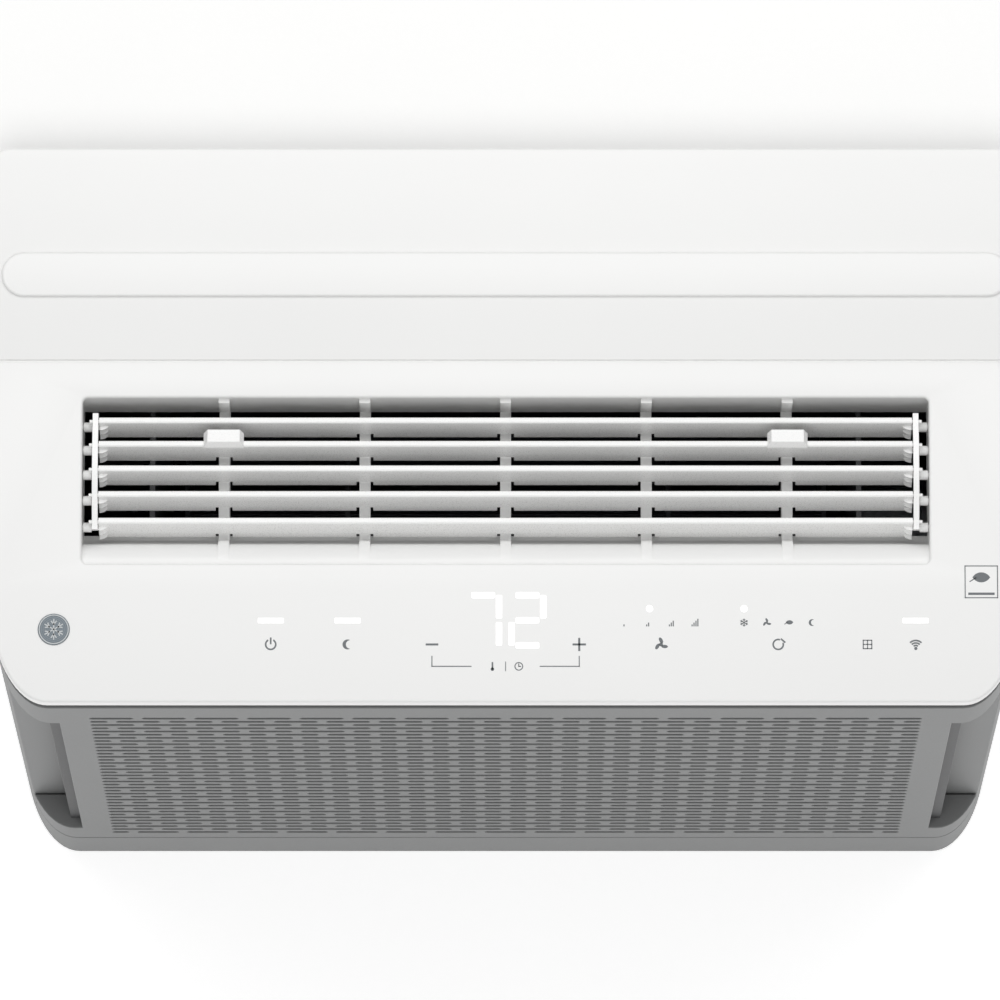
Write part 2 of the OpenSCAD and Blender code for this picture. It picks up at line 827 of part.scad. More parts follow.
module blower_wheel() {
    blade_in = blower_r - 12;
    color("#8f9599") {
        across(-blower_half, blower_half)
            for (k = [0:blower_blades - 1])
                translate([yb(blower_b), zh(blower_h)])
                    rotate(k * 360 / blower_blades)
                        translate([(blade_in + blower_r - 1) / 2, 0])
                            rotate(28)
                                square([12, 1.2], center = true);
        for (x = [-blower_half, -blower_half / 2, 0, blower_half / 2])
            bar_x(x, x + 2.4, blower_b, blower_h, blower_r);
        bar_x(blower_half - 2.4, blower_half, blower_b, blower_h, blower_r);
        bar_x(blower_shaft_left, blower_shaft_right, blower_b, blower_h, shaft_r);
    }
}

blower_motor_r = 36;

module blower_motor() {
    color(metal)
        difference() {
            union() {
                bar_x(scroll_half + clear + 2, scroll_half + 48, blower_b, blower_h, blower_motor_r);
                bar_x(scroll_half + 48, scroll_half + 54, blower_b, blower_h, 12);
            }
            bar_x(scroll_half, blower_shaft_right + 2, blower_b, blower_h, shaft_r + running);
        }
}

module motor_cradle() {
    color(metal)
        difference() {
            block(scroll_half + 12, scroll_half + 38, blower_b - 20, blower_b + 20,
                  blower_h + 10, body_h - wall);
            bar_x(scroll_half, scroll_half + 60, blower_b, blower_h, blower_motor_r);
        }
}

module blower_bearing() {
    color(dark)
        difference() {
            union() {
                bar_x(-scroll_half - 14, -scroll_half, blower_b, blower_h, 12);
                block(-scroll_half - 12, -scroll_half - 2, blower_b - 10, blower_b + 10,
                      blower_h + 8, body_h - wall);
            }
            bar_x(-scroll_half - 20, -scroll_half + 1, blower_b, blower_h, shaft_r + running);
        }
}

box_t = 1.5;                   // sheet of the control box
box_b1 = indoor_d - wall;      // rear of the control box, on the casing's rear wall
box_b0 = box_b1 - 52;
box_x = [-110, 120];
box_h = [200, 330];
pcb_in = 10;                   // board's edge to the outside of the box
pcb_b = box_b1 - 16;           // front of the board
pcb_t = 2;

module control_box() {
    color(metal) {
        difference() {
            block(box_x[0], box_x[1], box_b0, box_b1, box_h[0], box_h[1]);
            block(box_x[0] + box_t, box_x[1] - box_t, box_b0 - 1, box_b1 - box_t,
                  box_h[0] + box_t, box_h[1] - box_t);
        }
        for (x = [box_x[0] + pcb_in + 6, box_x[1] - pcb_in - 6],
             h = [box_h[0] + pcb_in + 6, box_h[1] - pcb_in - 6])
            bar_y(x, pcb_b + pcb_t, box_b1 - box_t, h, 3);
    }
}

module control_board() {
    color("#22402c")
        block(box_x[0] + pcb_in, box_x[1] - pcb_in, pcb_b, pcb_b + pcb_t,
              box_h[0] + pcb_in, box_h[1] - pcb_in);
    color(dark) {
        block(box_x[0] + 24, box_x[0] + 64, pcb_b - 24, pcb_b, box_h[0] + 24, box_h[0] + 64);
        block(box_x[1] - 70, box_x[1] - 40, pcb_b - 14, pcb_b, box_h[0] + 30, box_h[0] + 90);
    }
}

// ---------- bridge ----------

bridge_half = half_w - 3;
skirt_screw_bs = [bridge_b0 + 25, bridge_b1 - 25];

module bridge_channel() {
    color(metal)
        difference() {
            block(-bridge_half, bridge_half, bridge_b0, bridge_b1, deck_h + sheet_t, bridge_floor);
            block(-bridge_half + sheet_t, bridge_half - sheet_t, bridge_b0 - 1, bridge_b1 + 1,
                  deck_h - 1, bridge_floor - sheet_t);
            for (sx = [-1, 1], sy = [-1, 1])
                bar_z(sx * sill_bolt_x / 2, (bridge_b0 + bridge_b1) / 2 + sy * sill_bolt_y / 2,
                      bridge_floor - 10, bridge_floor + 1, sill_hole_r);
            for (sy = [-1, 1])
                bar_x(-half_w, half_w, (bridge_b0 + bridge_b1) / 2 + sy * side_bolt_y / 2,
                      side_bolt_h, side_hole_r);
            for (b = skirt_screw_bs)
                bar_x(-half_w, half_w, b, skirt_screw_h, skirt_screw_r + running);
        }
}

side_bolt_h = deck_h + 41;     // height of the side panel screws, below the top

skirt = 18;                    // height of the deck's side skirts
skirt_screw_h = deck_h + 11;
skirt_screw_r = 1.8;
foam_half = 180;
foam_gap = 6;                  // sill bolt heads clear the foam by this

module bridge_deck() {
    color(white)
        difference() {
            block(-half_w, half_w, bridge_b0, bridge_b1, deck_h, deck_h + skirt);
            block(-bridge_half - clear, bridge_half + clear, bridge_b0 - 1, bridge_b1 + 1,
                  deck_h + sheet_t, deck_h + skirt + 1);
            for (b = skirt_screw_bs)
                bar_x(-half_w - 1, half_w + 1, b, skirt_screw_h, skirt_screw_r + running);
        }
}

module deck_screws() {
    color(metal)
        for (b = skirt_screw_bs)
            mirrored()
                bar_x(bridge_half - 6, half_w, b, skirt_screw_h, skirt_screw_r);
}

module bridge_insulation() {
    color("#e9e6dc")
        block(-foam_half, foam_half, bridge_b0 + 2, bridge_b1 - 2,
              deck_h + 21, bridge_floor - sheet_t - foam_gap);
}

gasket_w = 20;

module sill_gasket() {
    color(dark)
        for (b = [bridge_b0 + 8, bridge_b1 - 8 - gasket_w])
            block(-half_w + 12, half_w - 12, b, b + gasket_w, bridge_floor, bridge_floor + gasket_t);
}

// Quarter bend of a pipe in the plane x = const, between an upright run and a level one
module elbow(x, b, h, r, bend, turn) {
    translate([x, yb(b), zh(h)])
        rotate([90, 0, 90])
            rotate([0, 0, turn])
                rotate_extrude(angle = 90)
                    translate([bend, 0])
                        circle(r);
}

// Pipe up from h_start, back through the bridge at h_line and down to h_end
module pipe(x, b_start, h_start, h_line, b_end, h_end, r) {
    bend = 4 * r;
    bar_z(x, b_start, h_line + bend, h_start, r);
    elbow(x, b_start + bend, h_line + bend, r, bend, 90);
    bar_y(x, b_start + bend, b_end - bend, h_line, r);
    elbow(x, b_end - bend, h_line + bend, r, bend, 0);
    bar_z(x, b_end, h_line + bend, h_end, r);
}

module suction_line() {
    color(copper)
        pipe(pipe_x, suction_start, 300, suction_h, suction_b, accu_top, suction_r);
}

module liquid_line() {
    color(copper) {
        pipe(pipe_x, liquid_start, 300, liquid_h, cond_mid, cond_tube_h(cond_tubes - 1), liquid_r);
        translate([pipe_x, yb(cond_mid), zh(cond_tube_h(cond_tubes - 1))]) sphere(liquid_r);
        bar_x(pipe_x, cond_left_end, cond_mid, cond_tube_h(cond_tubes - 1), liquid_r);
    }
}

// Hot gas pipe from the compressor's dome to the top tube of the condenser
module discharge_line() {
    x = comp_x + 24;
    color(copper) {
        bar_z(x, comp_b, discharge_h, dome_h(24 - liquid_r) - clear, liquid_r);
        bar_y(x, comp_b, cond_mid, discharge_h, liquid_r);
        bar_z(x, cond_mid, cond_tube_h(0), discharge_h, liquid_r);
        bar_x(x, cond_left_end, cond_mid, cond_tube_h(0), liquid_r);
        for (b = [comp_b, cond_mid])
            translate([x, yb(b), zh(discharge_h)]) sphere(liquid_r);
        translate([x, yb(cond_mid), zh(cond_tube_h(0))]) sphere(liquid_r);
    }
}

module wiring_conduit() {
    color(dark)
        bar_y(conduit_x, indoor_d - 30, bridge_b1 + 40, suction_h, conduit_r);
}

// ---------- outdoor section ----------

out_b0 = bridge_b1;
out_b1 = total_d;
floor_h = body_h - foot_h;     // underside of the base pan
pan_floor_h = floor_h - sheet_t;
pan_rim = 24;
split_x = 155.5 - body_w / 2;  // wall between the compressor and the fan
fan_x = (split_x + body_w / 2) / 2 - 6;
fan_h = (deck_h + floor_h) / 2 - 4;
shroud_b = out_b1 - cond_t - 34;
cond_b = out_b1 - cond_t - 18;
cond_mid = cond_b + cond_t / 2;
cond_x0 = split_x + 12;
cond_x1 = body_w / 2 - 26;
cond_top = deck_h + 20;
cond_bottom = floor_h - pan_rim - 6;
cond_tubes = 10;
cond_step = (cond_bottom - cond_top) / cond_tubes;
cond_left_end = cond_x0 - plate_t - 1;
comp_x = split_x - 72;
comp_b = out_b0 + 96;
comp_floor = floor_h - 24;
suction_b = out_b0 + 28;
accu_r = 15;
accu_top = comp_floor - 190;
accu_bottom = comp_floor - 70;
discharge_h = 142;
drain_x = 120;
drain_b = out_b0 + 60;
drain_r = 8;
screw_r = 2;
screw_up = 12;                 // screws above the underside of the pan
screw_bs = [out_b0 + 40, (out_b0 + out_b1) / 2, out_b1 - 40];

function cond_tube_h(k) = cond_top + cond_step * (k + 0.5);

module outdoor_base() {
    inner = cabinet_t + clear;
    color(metal)
        translate([0, 0, zh(floor_h)])
            difference() {
                linear_extrude(pan_rim)
                    rounded(-half_w + inner, half_w - inner, yb(out_b0) + inner, yb(out_b1) - inner,
                            cabinet_r - inner);
                translate([0, 0, sheet_t])
                    linear_extrude(pan_rim)
                        rounded(-half_w + inner + sheet_t, half_w - inner - sheet_t,
                                yb(out_b0) + inner + sheet_t, yb(out_b1) - inner - sheet_t,
                                cabinet_r - inner - sheet_t);
                translate([drain_x, yb(drain_b), -1])
                    cylinder(h = 8, r = drain_r);
                for (s = [-1, 1], b = screw_bs)
                    translate([s * half_w, yb(b), screw_up])
                        rotate([0, 90, 0])
                            cylinder(h = 40, r = screw_r + running, center = true);
            }
}

module rubber_feet() {
    color(dark)
        for (x = [-half_w + 45, half_w - 45], b = [out_b0 + 40, out_b1 - 40])
            bar_z(x, b, floor_h, body_h, foot_r);
}

louvre_rows = 16;
louvre_pitch = 14;
louvre_h = 5;
louvre_top = 100;              // first row, below the top
louvre_right = [50, 46];       // first slot of a row and its length, from the cabinet's front
louvre_left = [60, 60];
louvre_web = 10;

module side_slots(x0, x1, first) {
    for (k = [0:louvre_rows - 1], m = [0, 1])
        translate([0, m * (first[1] + louvre_web), -k * louvre_pitch])
            block(x0, x1, out_b0 + first[0], out_b0 + first[0] + first[1],
                  louvre_top, louvre_top + louvre_h);
}

module outdoor_cabinet() {
    top = deck_h;
    bottom = floor_h - 4;
    color(white)
        difference() {
            translate([0, 0, zh(bottom)])
                linear_extrude(bottom - top)
                    rounded(-half_w, half_w, yb(out_b0), yb(out_b1), cabinet_r);
            translate([0, 0, zh(bottom) - 1])
                linear_extrude(bottom - top - cabinet_t + 1)
                    rounded(-half_w + cabinet_t, half_w - cabinet_t, yb(out_b0) + cabinet_t,
                            yb(out_b1) - cabinet_t, cabinet_r - cabinet_t);
            block(cond_x0 - 4, cond_x1 + 4, out_b1 - cabinet_t - 1, out_b1 + 1, cond_top - 6, cond_bottom + 2);
            block(bridge_hole[0], bridge_hole[1], out_b0 - 1, out_b0 + cabinet_t + 6,
                  bridge_hole[2], bridge_hole[3]);
            side_slots(half_w - cabinet_t - 1, half_w + 1, louvre_right);
            side_slots(-half_w - 1, -half_w + cabinet_t + 1, louvre_left);
            for (b = screw_bs)
                bar_x(-half_w - 1, half_w + 1, b, floor_h - screw_up, screw_r + running);
        }
}

module cabinet_screws() {
    color(metal)
        for (b = screw_bs)
            mirrored() {
                bar_x(half_w - 7, half_w, b, floor_h - screw_up, screw_r);
            }
}

guard_bar = 4;
guard_pitch = 16;
guard_rim = 8;
guard_t = 6;
guard_cells = 5;

module rear_guard() {
    x0 = cond_x0 - 4 + clear;
    x1 = cond_x1 + 4 - clear;
    h0 = cond_top - 6 + clear;
    h1 = cond_bottom + 2 - clear;
    cell = (x1 - x0 - 2 * guard_rim - (guard_cells - 1) * guard_bar) / guard_cells;
    color(dark)
        difference() {
            block(x0, x1, out_b1 - guard_t, out_b1, h0, h1);
            for (h = [h0 + guard_rim:guard_pitch:h1 - guard_pitch], k = [0:guard_cells - 1])
                translate([k * (cell + guard_bar), 0, 0])
                    block(x0 + guard_rim, x0 + guard_rim + cell, out_b1 - guard_t - 1, out_b1 + 1,
                          h, h + guard_pitch - guard_bar);
        }
}

module partition() {
    color(metal)
        block(split_x, split_x + 1.5, out_b0 + 6, shroud_b - 1, inverter_h, pan_floor_h);
}

dome_r = 72;                   // sphere that the compressor's domed end is cut from
dome_base_h = comp_floor - compressor_h + 24;
dome_drop = sqrt(dome_r * dome_r - compressor_r * compressor_r);

// Height of the dome's surface at a distance from the compressor's axis
function dome_h(offset) = dome_base_h + dome_drop - sqrt(dome_r * dome_r - offset * offset);

feet_angles = [90, 210, 330];

module compressor() {
    color("#303235") {
        bar_z(comp_x, comp_b, dome_base_h, comp_floor, compressor_r);
        translate([comp_x, yb(comp_b), zh(dome_base_h)])
            intersection() {
                translate([0, 0, -dome_drop]) sphere(r = dome_r);
                cylinder(h = dome_r, r = compressor_r);
            }
        for (a = feet_angles)
            translate([comp_x, yb(comp_b), zh(comp_floor)])
                rotate(a)
                    difference() {
                        translate([0, -14, 0]) cube([compressor_r + 14, 28, 3]);
                        translate([compressor_r + 5, 0, -1]) cylinder(h = 5, r = 4);
                    }
    }
}

module compressor_grommets() {
    color(dark)
        for (a = feet_angles)
            translate([comp_x + (compressor_r + 5) * cos(a), yb(comp_b) + (compressor_r + 5) * sin(a),
                       zh(pan_floor_h)])
                cylinder(h = pan_floor_h - comp_floor, r = 9);
}

module accumulator() {
    color("#303235")
        bar_z(pipe_x, suction_b, accu_top, accu_bottom, accu_r);
    color(copper)
        bar_z(pipe_x, suction_b, accu_bottom, accu_bottom + 30, suction_r);
}

module condenser_fins() {
    color(metal)
        difference() {
            block(cond_x0, cond_x1, cond_b, cond_b + cond_t, cond_top, cond_bottom);
            for (k = [0:cond_tubes - 1])
                bar_x(cond_x0 - 1, cond_x1 + 1, cond_mid, cond_tube_h(k), tube_r + running);
        }
}

module condenser_plates() {
    color(metal)
        for (x = [cond_x0 - plate_t, cond_x1])
            difference() {
                block(x, x + plate_t, cond_b - 2, cond_b + cond_t + 2, cond_top, pan_floor_h);
                for (k = [0:cond_tubes - 1])
                    bar_x(x - 1, x + plate_t + 1, cond_mid, cond_tube_h(k), tube_r + running);
            }
}

module condenser_tubes() {
    right = cond_x1 + plate_t + 1;
    color(copper) {
        for (k = [0:cond_tubes - 1])
            bar_x(cond_left_end, right, cond_mid, cond_tube_h(k), tube_r);
        for (k = [0:2:cond_tubes - 2])
            coil_bend(right, cond_mid, cond_tube_h(k), cond_step, 1);
        for (k = [1:2:cond_tubes - 3])
            coil_bend(cond_left_end, cond_mid, cond_tube_h(k), cond_step, -1);
    }
}

module fan_shroud() {
    color(dark) {
        difference() {
            block(split_x + 4, half_w - cabinet_t - 5, shroud_b, shroud_b + 3, deck_h + cabinet_t + 2,
                  pan_floor_h);
            bar_y(fan_x, shroud_b - 1, shroud_b + 4, fan_h, fan_r + 5);
        }
        difference() {
            bar_y(fan_x, shroud_b - 22, shroud_b, fan_h, fan_r + 8);
            bar_y(fan_x, shroud_b - 23, shroud_b + 1, fan_h, fan_r + 5);
        }
    }
}

fan_b = shroud_b - 30;
hub_r = 32;

module condenser_fan() {
    color("#4a4d50") {
        translate([fan_x, yb(fan_b), zh(fan_h)])
            rotate([-90, 0, 0]) {
                cylinder(h = 30, r = hub_r);
                intersection() {
                    for (k = [0:fan_blades - 1])
                        rotate(k * 360 / fan_blades)
                            translate([hub_r + 48, 0, 15])
                                rotate([24, 0, 0])
                                    cube([2 * fan_r, 74, 2.4], center = true);
                    difference() {
                        cylinder(h = 30, r = fan_r);
                        translate([0, 0, -1]) cylinder(h = 32, r = hub_r - 2);
                    }
                }
            }
        bar_y(fan_x, fan_b - 36, fan_b + 32, fan_h, shaft_r);
    }
}

fan_motor_r = 40;
motor_b0 = fan_b - 70;
motor_b1 = fan_b - 8;

module fan_motor() {
    color(metal)
        difference() {
            bar_y(fan_x, motor_b0, motor_b1, fan_h, fan_motor_r);
            bar_y(fan_x, fan_b - 40, motor_b1 + 1, fan_h, shaft_r + running);
        }
}

module fan_bracket() {
    color(metal)
        difference() {
            block(fan_x - 25, fan_x + 25, motor_b0 + 14, motor_b1 - 14, fan_h + 20, pan_floor_h);
            bar_y(fan_x, motor_b0 - 1, motor_b1 + 1, fan_h, fan_motor_r);
            block(fan_x - 17, fan_x + 17, motor_b0, motor_b1, fan_h + fan_motor_r + 10, pan_floor_h - 6);
        }
}

module inverter_box() {
    color(metal)
        block(pipe_x + 14, split_x - 8, out_b0 + 44, out_b0 + 140, inverter_h, inverter_h + 38);
}

// ---------- drawing ----------

control_panel();
badge();
display_board();
rear_cover();
sash_pad();
top_frame();
outlet_frame();
louvre_blade_1();
louvre_blade_2();
louvre_blade_3();
louvre_blade_4();
louvre_blade_5();
tie_bar_left();
tie_bar_right();
grip_tab_left();
grip_tab_right();
front_frame();
intake_grille();
filter_frame();
filter_mesh();
indoor_housing();
base_tray();
evaporator_fins();
evaporator_tubes();
evaporator_plates();
drain_pan();
scroll_case();
blower_wheel();
blower_motor();
motor_cradle();
blower_bearing();
control_box();
control_board();
cord_gland();
bridge_channel();
bridge_deck();
bridge_insulation();
sill_gasket();
suction_line();
liquid_line();
discharge_line();
wiring_conduit();
outdoor_base();
rubber_feet();
outdoor_cabinet();
rear_guard();
partition();
compressor();
compressor_grommets();
accumulator();
condenser_fins();
condenser_tubes();
condenser_plates();
fan_shroud();
condenser_fan();
fan_motor();
fan_bracket();
inverter_box();
cabinet_screws();
deck_screws();
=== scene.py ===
"""Saddle-type window air conditioner: the looks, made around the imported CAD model.

Inside this file a place is given as x, b and h in millimetres: x across, b the depth behind the
front face and h the depth below the top of the control panel.
"""

import json
import math

import bmesh
import bpy
from mathutils import Matrix, Vector, geometry

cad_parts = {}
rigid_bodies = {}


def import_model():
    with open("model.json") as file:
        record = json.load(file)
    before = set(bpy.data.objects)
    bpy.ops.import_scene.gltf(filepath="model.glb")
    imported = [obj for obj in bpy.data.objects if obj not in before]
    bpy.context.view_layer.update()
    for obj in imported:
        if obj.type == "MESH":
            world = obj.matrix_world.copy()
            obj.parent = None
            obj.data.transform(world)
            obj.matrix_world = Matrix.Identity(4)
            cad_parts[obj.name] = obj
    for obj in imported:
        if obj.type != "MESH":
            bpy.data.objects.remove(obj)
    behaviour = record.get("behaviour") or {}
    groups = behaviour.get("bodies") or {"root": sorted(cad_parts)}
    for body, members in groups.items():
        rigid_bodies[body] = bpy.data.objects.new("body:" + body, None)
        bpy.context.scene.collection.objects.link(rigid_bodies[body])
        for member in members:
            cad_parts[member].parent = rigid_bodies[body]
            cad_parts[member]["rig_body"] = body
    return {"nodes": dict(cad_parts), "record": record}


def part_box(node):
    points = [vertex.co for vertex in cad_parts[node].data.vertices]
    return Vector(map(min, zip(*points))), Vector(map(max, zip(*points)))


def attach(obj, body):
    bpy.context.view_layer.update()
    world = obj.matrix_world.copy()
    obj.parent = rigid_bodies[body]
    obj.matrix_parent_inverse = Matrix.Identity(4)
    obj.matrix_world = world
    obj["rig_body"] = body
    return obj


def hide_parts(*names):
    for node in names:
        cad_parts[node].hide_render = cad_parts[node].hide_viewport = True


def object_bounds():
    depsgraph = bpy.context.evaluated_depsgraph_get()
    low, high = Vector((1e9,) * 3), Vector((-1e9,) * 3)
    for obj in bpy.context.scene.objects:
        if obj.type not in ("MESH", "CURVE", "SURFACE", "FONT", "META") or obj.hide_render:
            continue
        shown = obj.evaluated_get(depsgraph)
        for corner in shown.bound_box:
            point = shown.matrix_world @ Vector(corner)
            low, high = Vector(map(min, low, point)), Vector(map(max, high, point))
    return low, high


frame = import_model()
CAD_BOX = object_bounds()

MM = 0.001
CHASSIS = "chassis"

# ---------- places taken from the frame ----------

PANEL_LOW, PANEL_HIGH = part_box("control_panel")
FRONT = PANEL_LOW.y
TOP = PANEL_HIGH.z


def at(x, b, h):
    return Vector((x * MM, FRONT + b * MM, TOP - h * MM))


def span(node):
    """A CAD node's box as x0, x1, b0, b1, h0, h1 in millimetres."""
    low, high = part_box(node)
    return (low.x / MM, high.x / MM, (low.y - FRONT) / MM, (high.y - FRONT) / MM,
            (TOP - high.z) / MM, (TOP - low.z) / MM)


HALF = PANEL_HIGH.x / MM              # half the width of the casing
CAP = (TOP - PANEL_LOW.z) / MM        # height of the white panels' edge
SEAM_FRONT = span("control_panel")[3]
SEAM_REAR = span("rear_cover")[2]
INDOOR = span("rear_cover")[3]
CORNER_X, CORNER_Y = 29.5, 58.0       # half axes of the wide front corners
REAR_CORNER = 8.0
WALL = 3.0
OUTLET_WALL = 3.4
OUTLET = span("outlet_frame")
OPEN_HALF = OUTLET[1] - OUTLET_WALL
OPEN_FRONT = OUTLET[2] + OUTLET_WALL
OPEN_REAR = OUTLET[3] - OUTLET_WALL

# ---------- camera ----------

ELEVATION = math.radians(78)
LENS, SENSOR = 379.4, 36.0            # a long lens, in millimetres
AIM = at(0, 101.8, 0)
DISTANCE = 5.2102
SHIFT_X = -0.0056


def add_camera():
    data = bpy.data.cameras.new("camera")
    data.lens = LENS
    data.sensor_width = SENSOR
    data.shift_x = SHIFT_X
    data.clip_end = 100
    camera = bpy.data.objects.new("camera", data)
    camera.location = AIM + DISTANCE * Vector((0, -math.cos(ELEVATION), math.sin(ELEVATION)))
    camera.rotation_euler = (math.pi / 2 - ELEVATION, 0, 0)
    bpy.context.scene.collection.objects.link(camera)
    bpy.context.scene.camera = camera


add_camera()

# ---------- node and colour helpers ----------


def rgb(code):
    """sRGB hex code to linear colour."""
    values = [int(code[i:i + 2], 16) / 255 for i in (1, 3, 5)]
    return (*[v / 12.92 if v <= 0.04045 else ((v + 0.055) / 1.055) ** 2.4 for v in values], 1.0)


def add(tree, kind, inputs=None, **settings):
    """Adds a node. An input's value is a constant, a socket, or a node whose first output is meant."""
    node = tree.nodes.new(kind)
    for key, value in settings.items():
        setattr(node, key, value)
    for key, value in (inputs or {}).items():
        if isinstance(value, bpy.types.Node):
            value = next(o for o in value.outputs if o.enabled)
        if isinstance(value, bpy.types.NodeSocket):
            tree.links.new(value, node.inputs[key])
        else:
            node.inputs[key].default_value = value
    return node


def start(name):
    """A new material, its node tree and the object coordinates of the point."""
    material = bpy.data.materials.new(name)
    material.use_nodes = True
    material.node_tree.nodes.clear()
    place = add(material.node_tree, "ShaderNodeTexCoord").outputs["Object"]
    return material, material.node_tree, place


def finish(material, tree, colour, rough, height=None, depth=0.0, **fixed):
    """Joins colour, roughness and bump to the shader. Fixed values go on the shader's own sockets."""
    inputs = {"Base Color": colour, "Roughness": rough}
    inputs.update({key.replace("_", " "): value for key, value in fixed.items()})
    if height is not None:
        inputs["Normal"] = add(tree, "ShaderNodeBump", {"Height": height, "Distance": depth * MM})
    shader = add(tree, "ShaderNodeBsdfPrincipled", inputs)
    add(tree, "ShaderNodeOutputMaterial", {"Surface": shader})
    return material


def per_mm(size):
    """Texture scale whose features are this many millimetres apart."""
    return 1 / (size * MM)


# ---------- materials ----------


def moulded_abs(name, light, deep, grain, depth, rough):
    """Injection-moulded ABS: almost even colour, and the fine grain of a spark-eroded mould that
    breaks up the highlight. The grain is drawn coarser than the real 0.1 mm so that it shows."""
    material, tree, place = start(name)
    flow = add(tree, "ShaderNodeTexNoise", {"Vector": place, "Scale": per_mm(120), "Detail": 2.0})
    colour = add(tree, "ShaderNodeMix", {0: flow, 6: rgb(deep), 7: rgb(light)}, data_type="RGBA")
    skin = add(tree, "ShaderNodeTexNoise", {"Vector": place, "Scale": per_mm(grain), "Detail": 3.0,
                                            "Roughness": 0.6})
    gloss = add(tree, "ShaderNodeMapRange", {0: skin, 3: rough - 0.05, 4: rough + 0.05})
    return finish(material, tree, colour, gloss, skin, depth, IOR=1.53)


def glowing(name, code, strength):
    """Lit light guide under a thin white skin: a clear polycarbonate window, brightest inside."""
    material, tree, place = start(name)
    skin = add(tree, "ShaderNodeTexNoise", {"Vector": place, "Scale": per_mm(1.5)})
    colour = add(tree, "ShaderNodeMix", {0: skin, 6: rgb(code), 7: rgb("#ffffff")}, data_type="RGBA")
    gloss = add(tree, "ShaderNodeMapRange", {0: skin, 3: 0.25, 4: 0.35})
    return finish(material, tree, colour, gloss, IOR=1.58, Emission_Color=rgb(code),
                  Emission_Strength=strength)


def printed_ink(name, light, deep):
    """Pad-printed ink: matt, with the slight mottling of a thin printed film."""
    material, tree, place = start(name)
    film = add(tree, "ShaderNodeTexNoise", {"Vector": place, "Scale": per_mm(0.6), "Detail": 2.0})
    colour = add(tree, "ShaderNodeMix", {0: film, 6: rgb(deep), 7: rgb(light)}, data_type="RGBA")
    gloss = add(tree, "ShaderNodeMapRange", {0: film, 3: 0.5, 4: 0.62})
    return finish(material, tree, colour, gloss, film, 0.01, IOR=1.5)


def badge_aluminium():
    """Lacquered aluminium disc with turned rings, printed dark grey."""
    material, tree, place = start("badge aluminium, lacquered")
    x0, x1, b0, b1 = span("badge")[:4]
    centre = at((x0 + x1) / 2, (b0 + b1) / 2, 0)
    local = add(tree, "ShaderNodeVectorMath", {0: place, 1: centre}, operation="SUBTRACT")
    rings = add(tree, "ShaderNodeTexWave", {"Vector": local, "Scale": per_mm(3.0), "Distortion": 0.3},
                wave_type="RINGS", rings_direction="Z")
    colour = add(tree, "ShaderNodeMix", {0: rings.outputs["Fac"], 6: rgb("#6a7278"),
                                         7: rgb("#7c848a")}, data_type="RGBA")
    gloss = add(tree, "ShaderNodeMapRange", {0: rings.outputs["Fac"], 3: 0.3, 4: 0.42})
    return finish(material, tree, colour, gloss, rings.outputs["Fac"], 0.01, Metallic=0.6)


def galvanised_sheet():
    """Hot-dip galvanised steel: zinc crystals about 9 mm across in slightly different greys."""
    material, tree, place = start("galvanised steel sheet")
    spangle = add(tree, "ShaderNodeTexVoronoi", {"Vector": place, "Scale": per_mm(9)})
    grey = add(tree, "ShaderNodeSeparateColor", {0: spangle.outputs["Color"]})
    colour = add(tree, "ShaderNodeMix", {0: grey, 6: rgb("#a5a9ad"), 7: rgb("#c3c7ca")},
                 data_type="RGBA")
    gloss = add(tree, "ShaderNodeMapRange", {0: grey, 3: 0.32, 4: 0.5})
    fine = add(tree, "ShaderNodeTexNoise", {"Vector": place, "Scale": per_mm(1.2), "Detail": 2.0})
    return finish(material, tree, colour, gloss, fine, 0.02, Metallic=1.0)


def powder_coat(name, light, deep, rough):
    """Powder-coated steel: the soft orange peel of a baked film, about 2 mm from hill to hill."""
    material, tree, place = start(name)
    peel = add(tree, "ShaderNodeTexNoise", {"Vector": place, "Scale": per_mm(2.2), "Detail": 1.5})
    broad = add(tree, "ShaderNodeTexNoise", {"Vector": place, "Scale": per_mm(150)})
    colour = add(tree, "ShaderNodeMix", {0: broad, 6: rgb(deep), 7: rgb(light)}, data_type="RGBA")
    gloss = add(tree, "ShaderNodeMapRange", {0: peel, 3: rough - 0.06, 4: rough + 0.06})
    return finish(material, tree, colour, gloss, peel, 0.06, IOR=1.5)


def copper_tube():
    """Drawn copper tube, handled and partly dulled: darker brown clouds over warm metal."""
    material, tree, place = start("drawn copper tube")
    cloud = add(tree, "ShaderNodeTexNoise", {"Vector": place, "Scale": per_mm(14), "Detail": 5.0})
    mask = add(tree, "ShaderNodeMapRange", {0: cloud, 1: 0.35, 2: 0.7})
    colour = add(tree, "ShaderNodeMix", {0: mask, 6: rgb("#c9845c"), 7: rgb("#8c5334")},
                 data_type="RGBA")
    gloss = add(tree, "ShaderNodeMapRange", {0: mask, 3: 0.28, 4: 0.5})
    return finish(material, tree, colour, gloss, cloud, 0.02, Metallic=1.0)


def fin_foil():
    """Pressed aluminium foil with a thin hydrophilic coat: satin, with small dents in the rows."""
    material, tree, place = start("pressed aluminium fin foil")
    dents = add(tree, "ShaderNodeTexNoise", {"Vector": place, "Scale": per_mm(7), "Detail": 3.0})
    colour = add(tree, "ShaderNodeMix", {0: dents, 6: rgb("#b4b9bc"), 7: rgb("#d4d8da")},
                 data_type="RGBA")
    gloss = add(tree, "ShaderNodeMapRange", {0: dents, 3: 0.3, 4: 0.46})
    pressed = add(tree, "ShaderNodeTexWave", {"Vector": place, "Scale": per_mm(12)},
                  bands_direction="Z")
    return finish(material, tree, colour, gloss, pressed.outputs["Fac"], 0.15, Metallic=0.9)


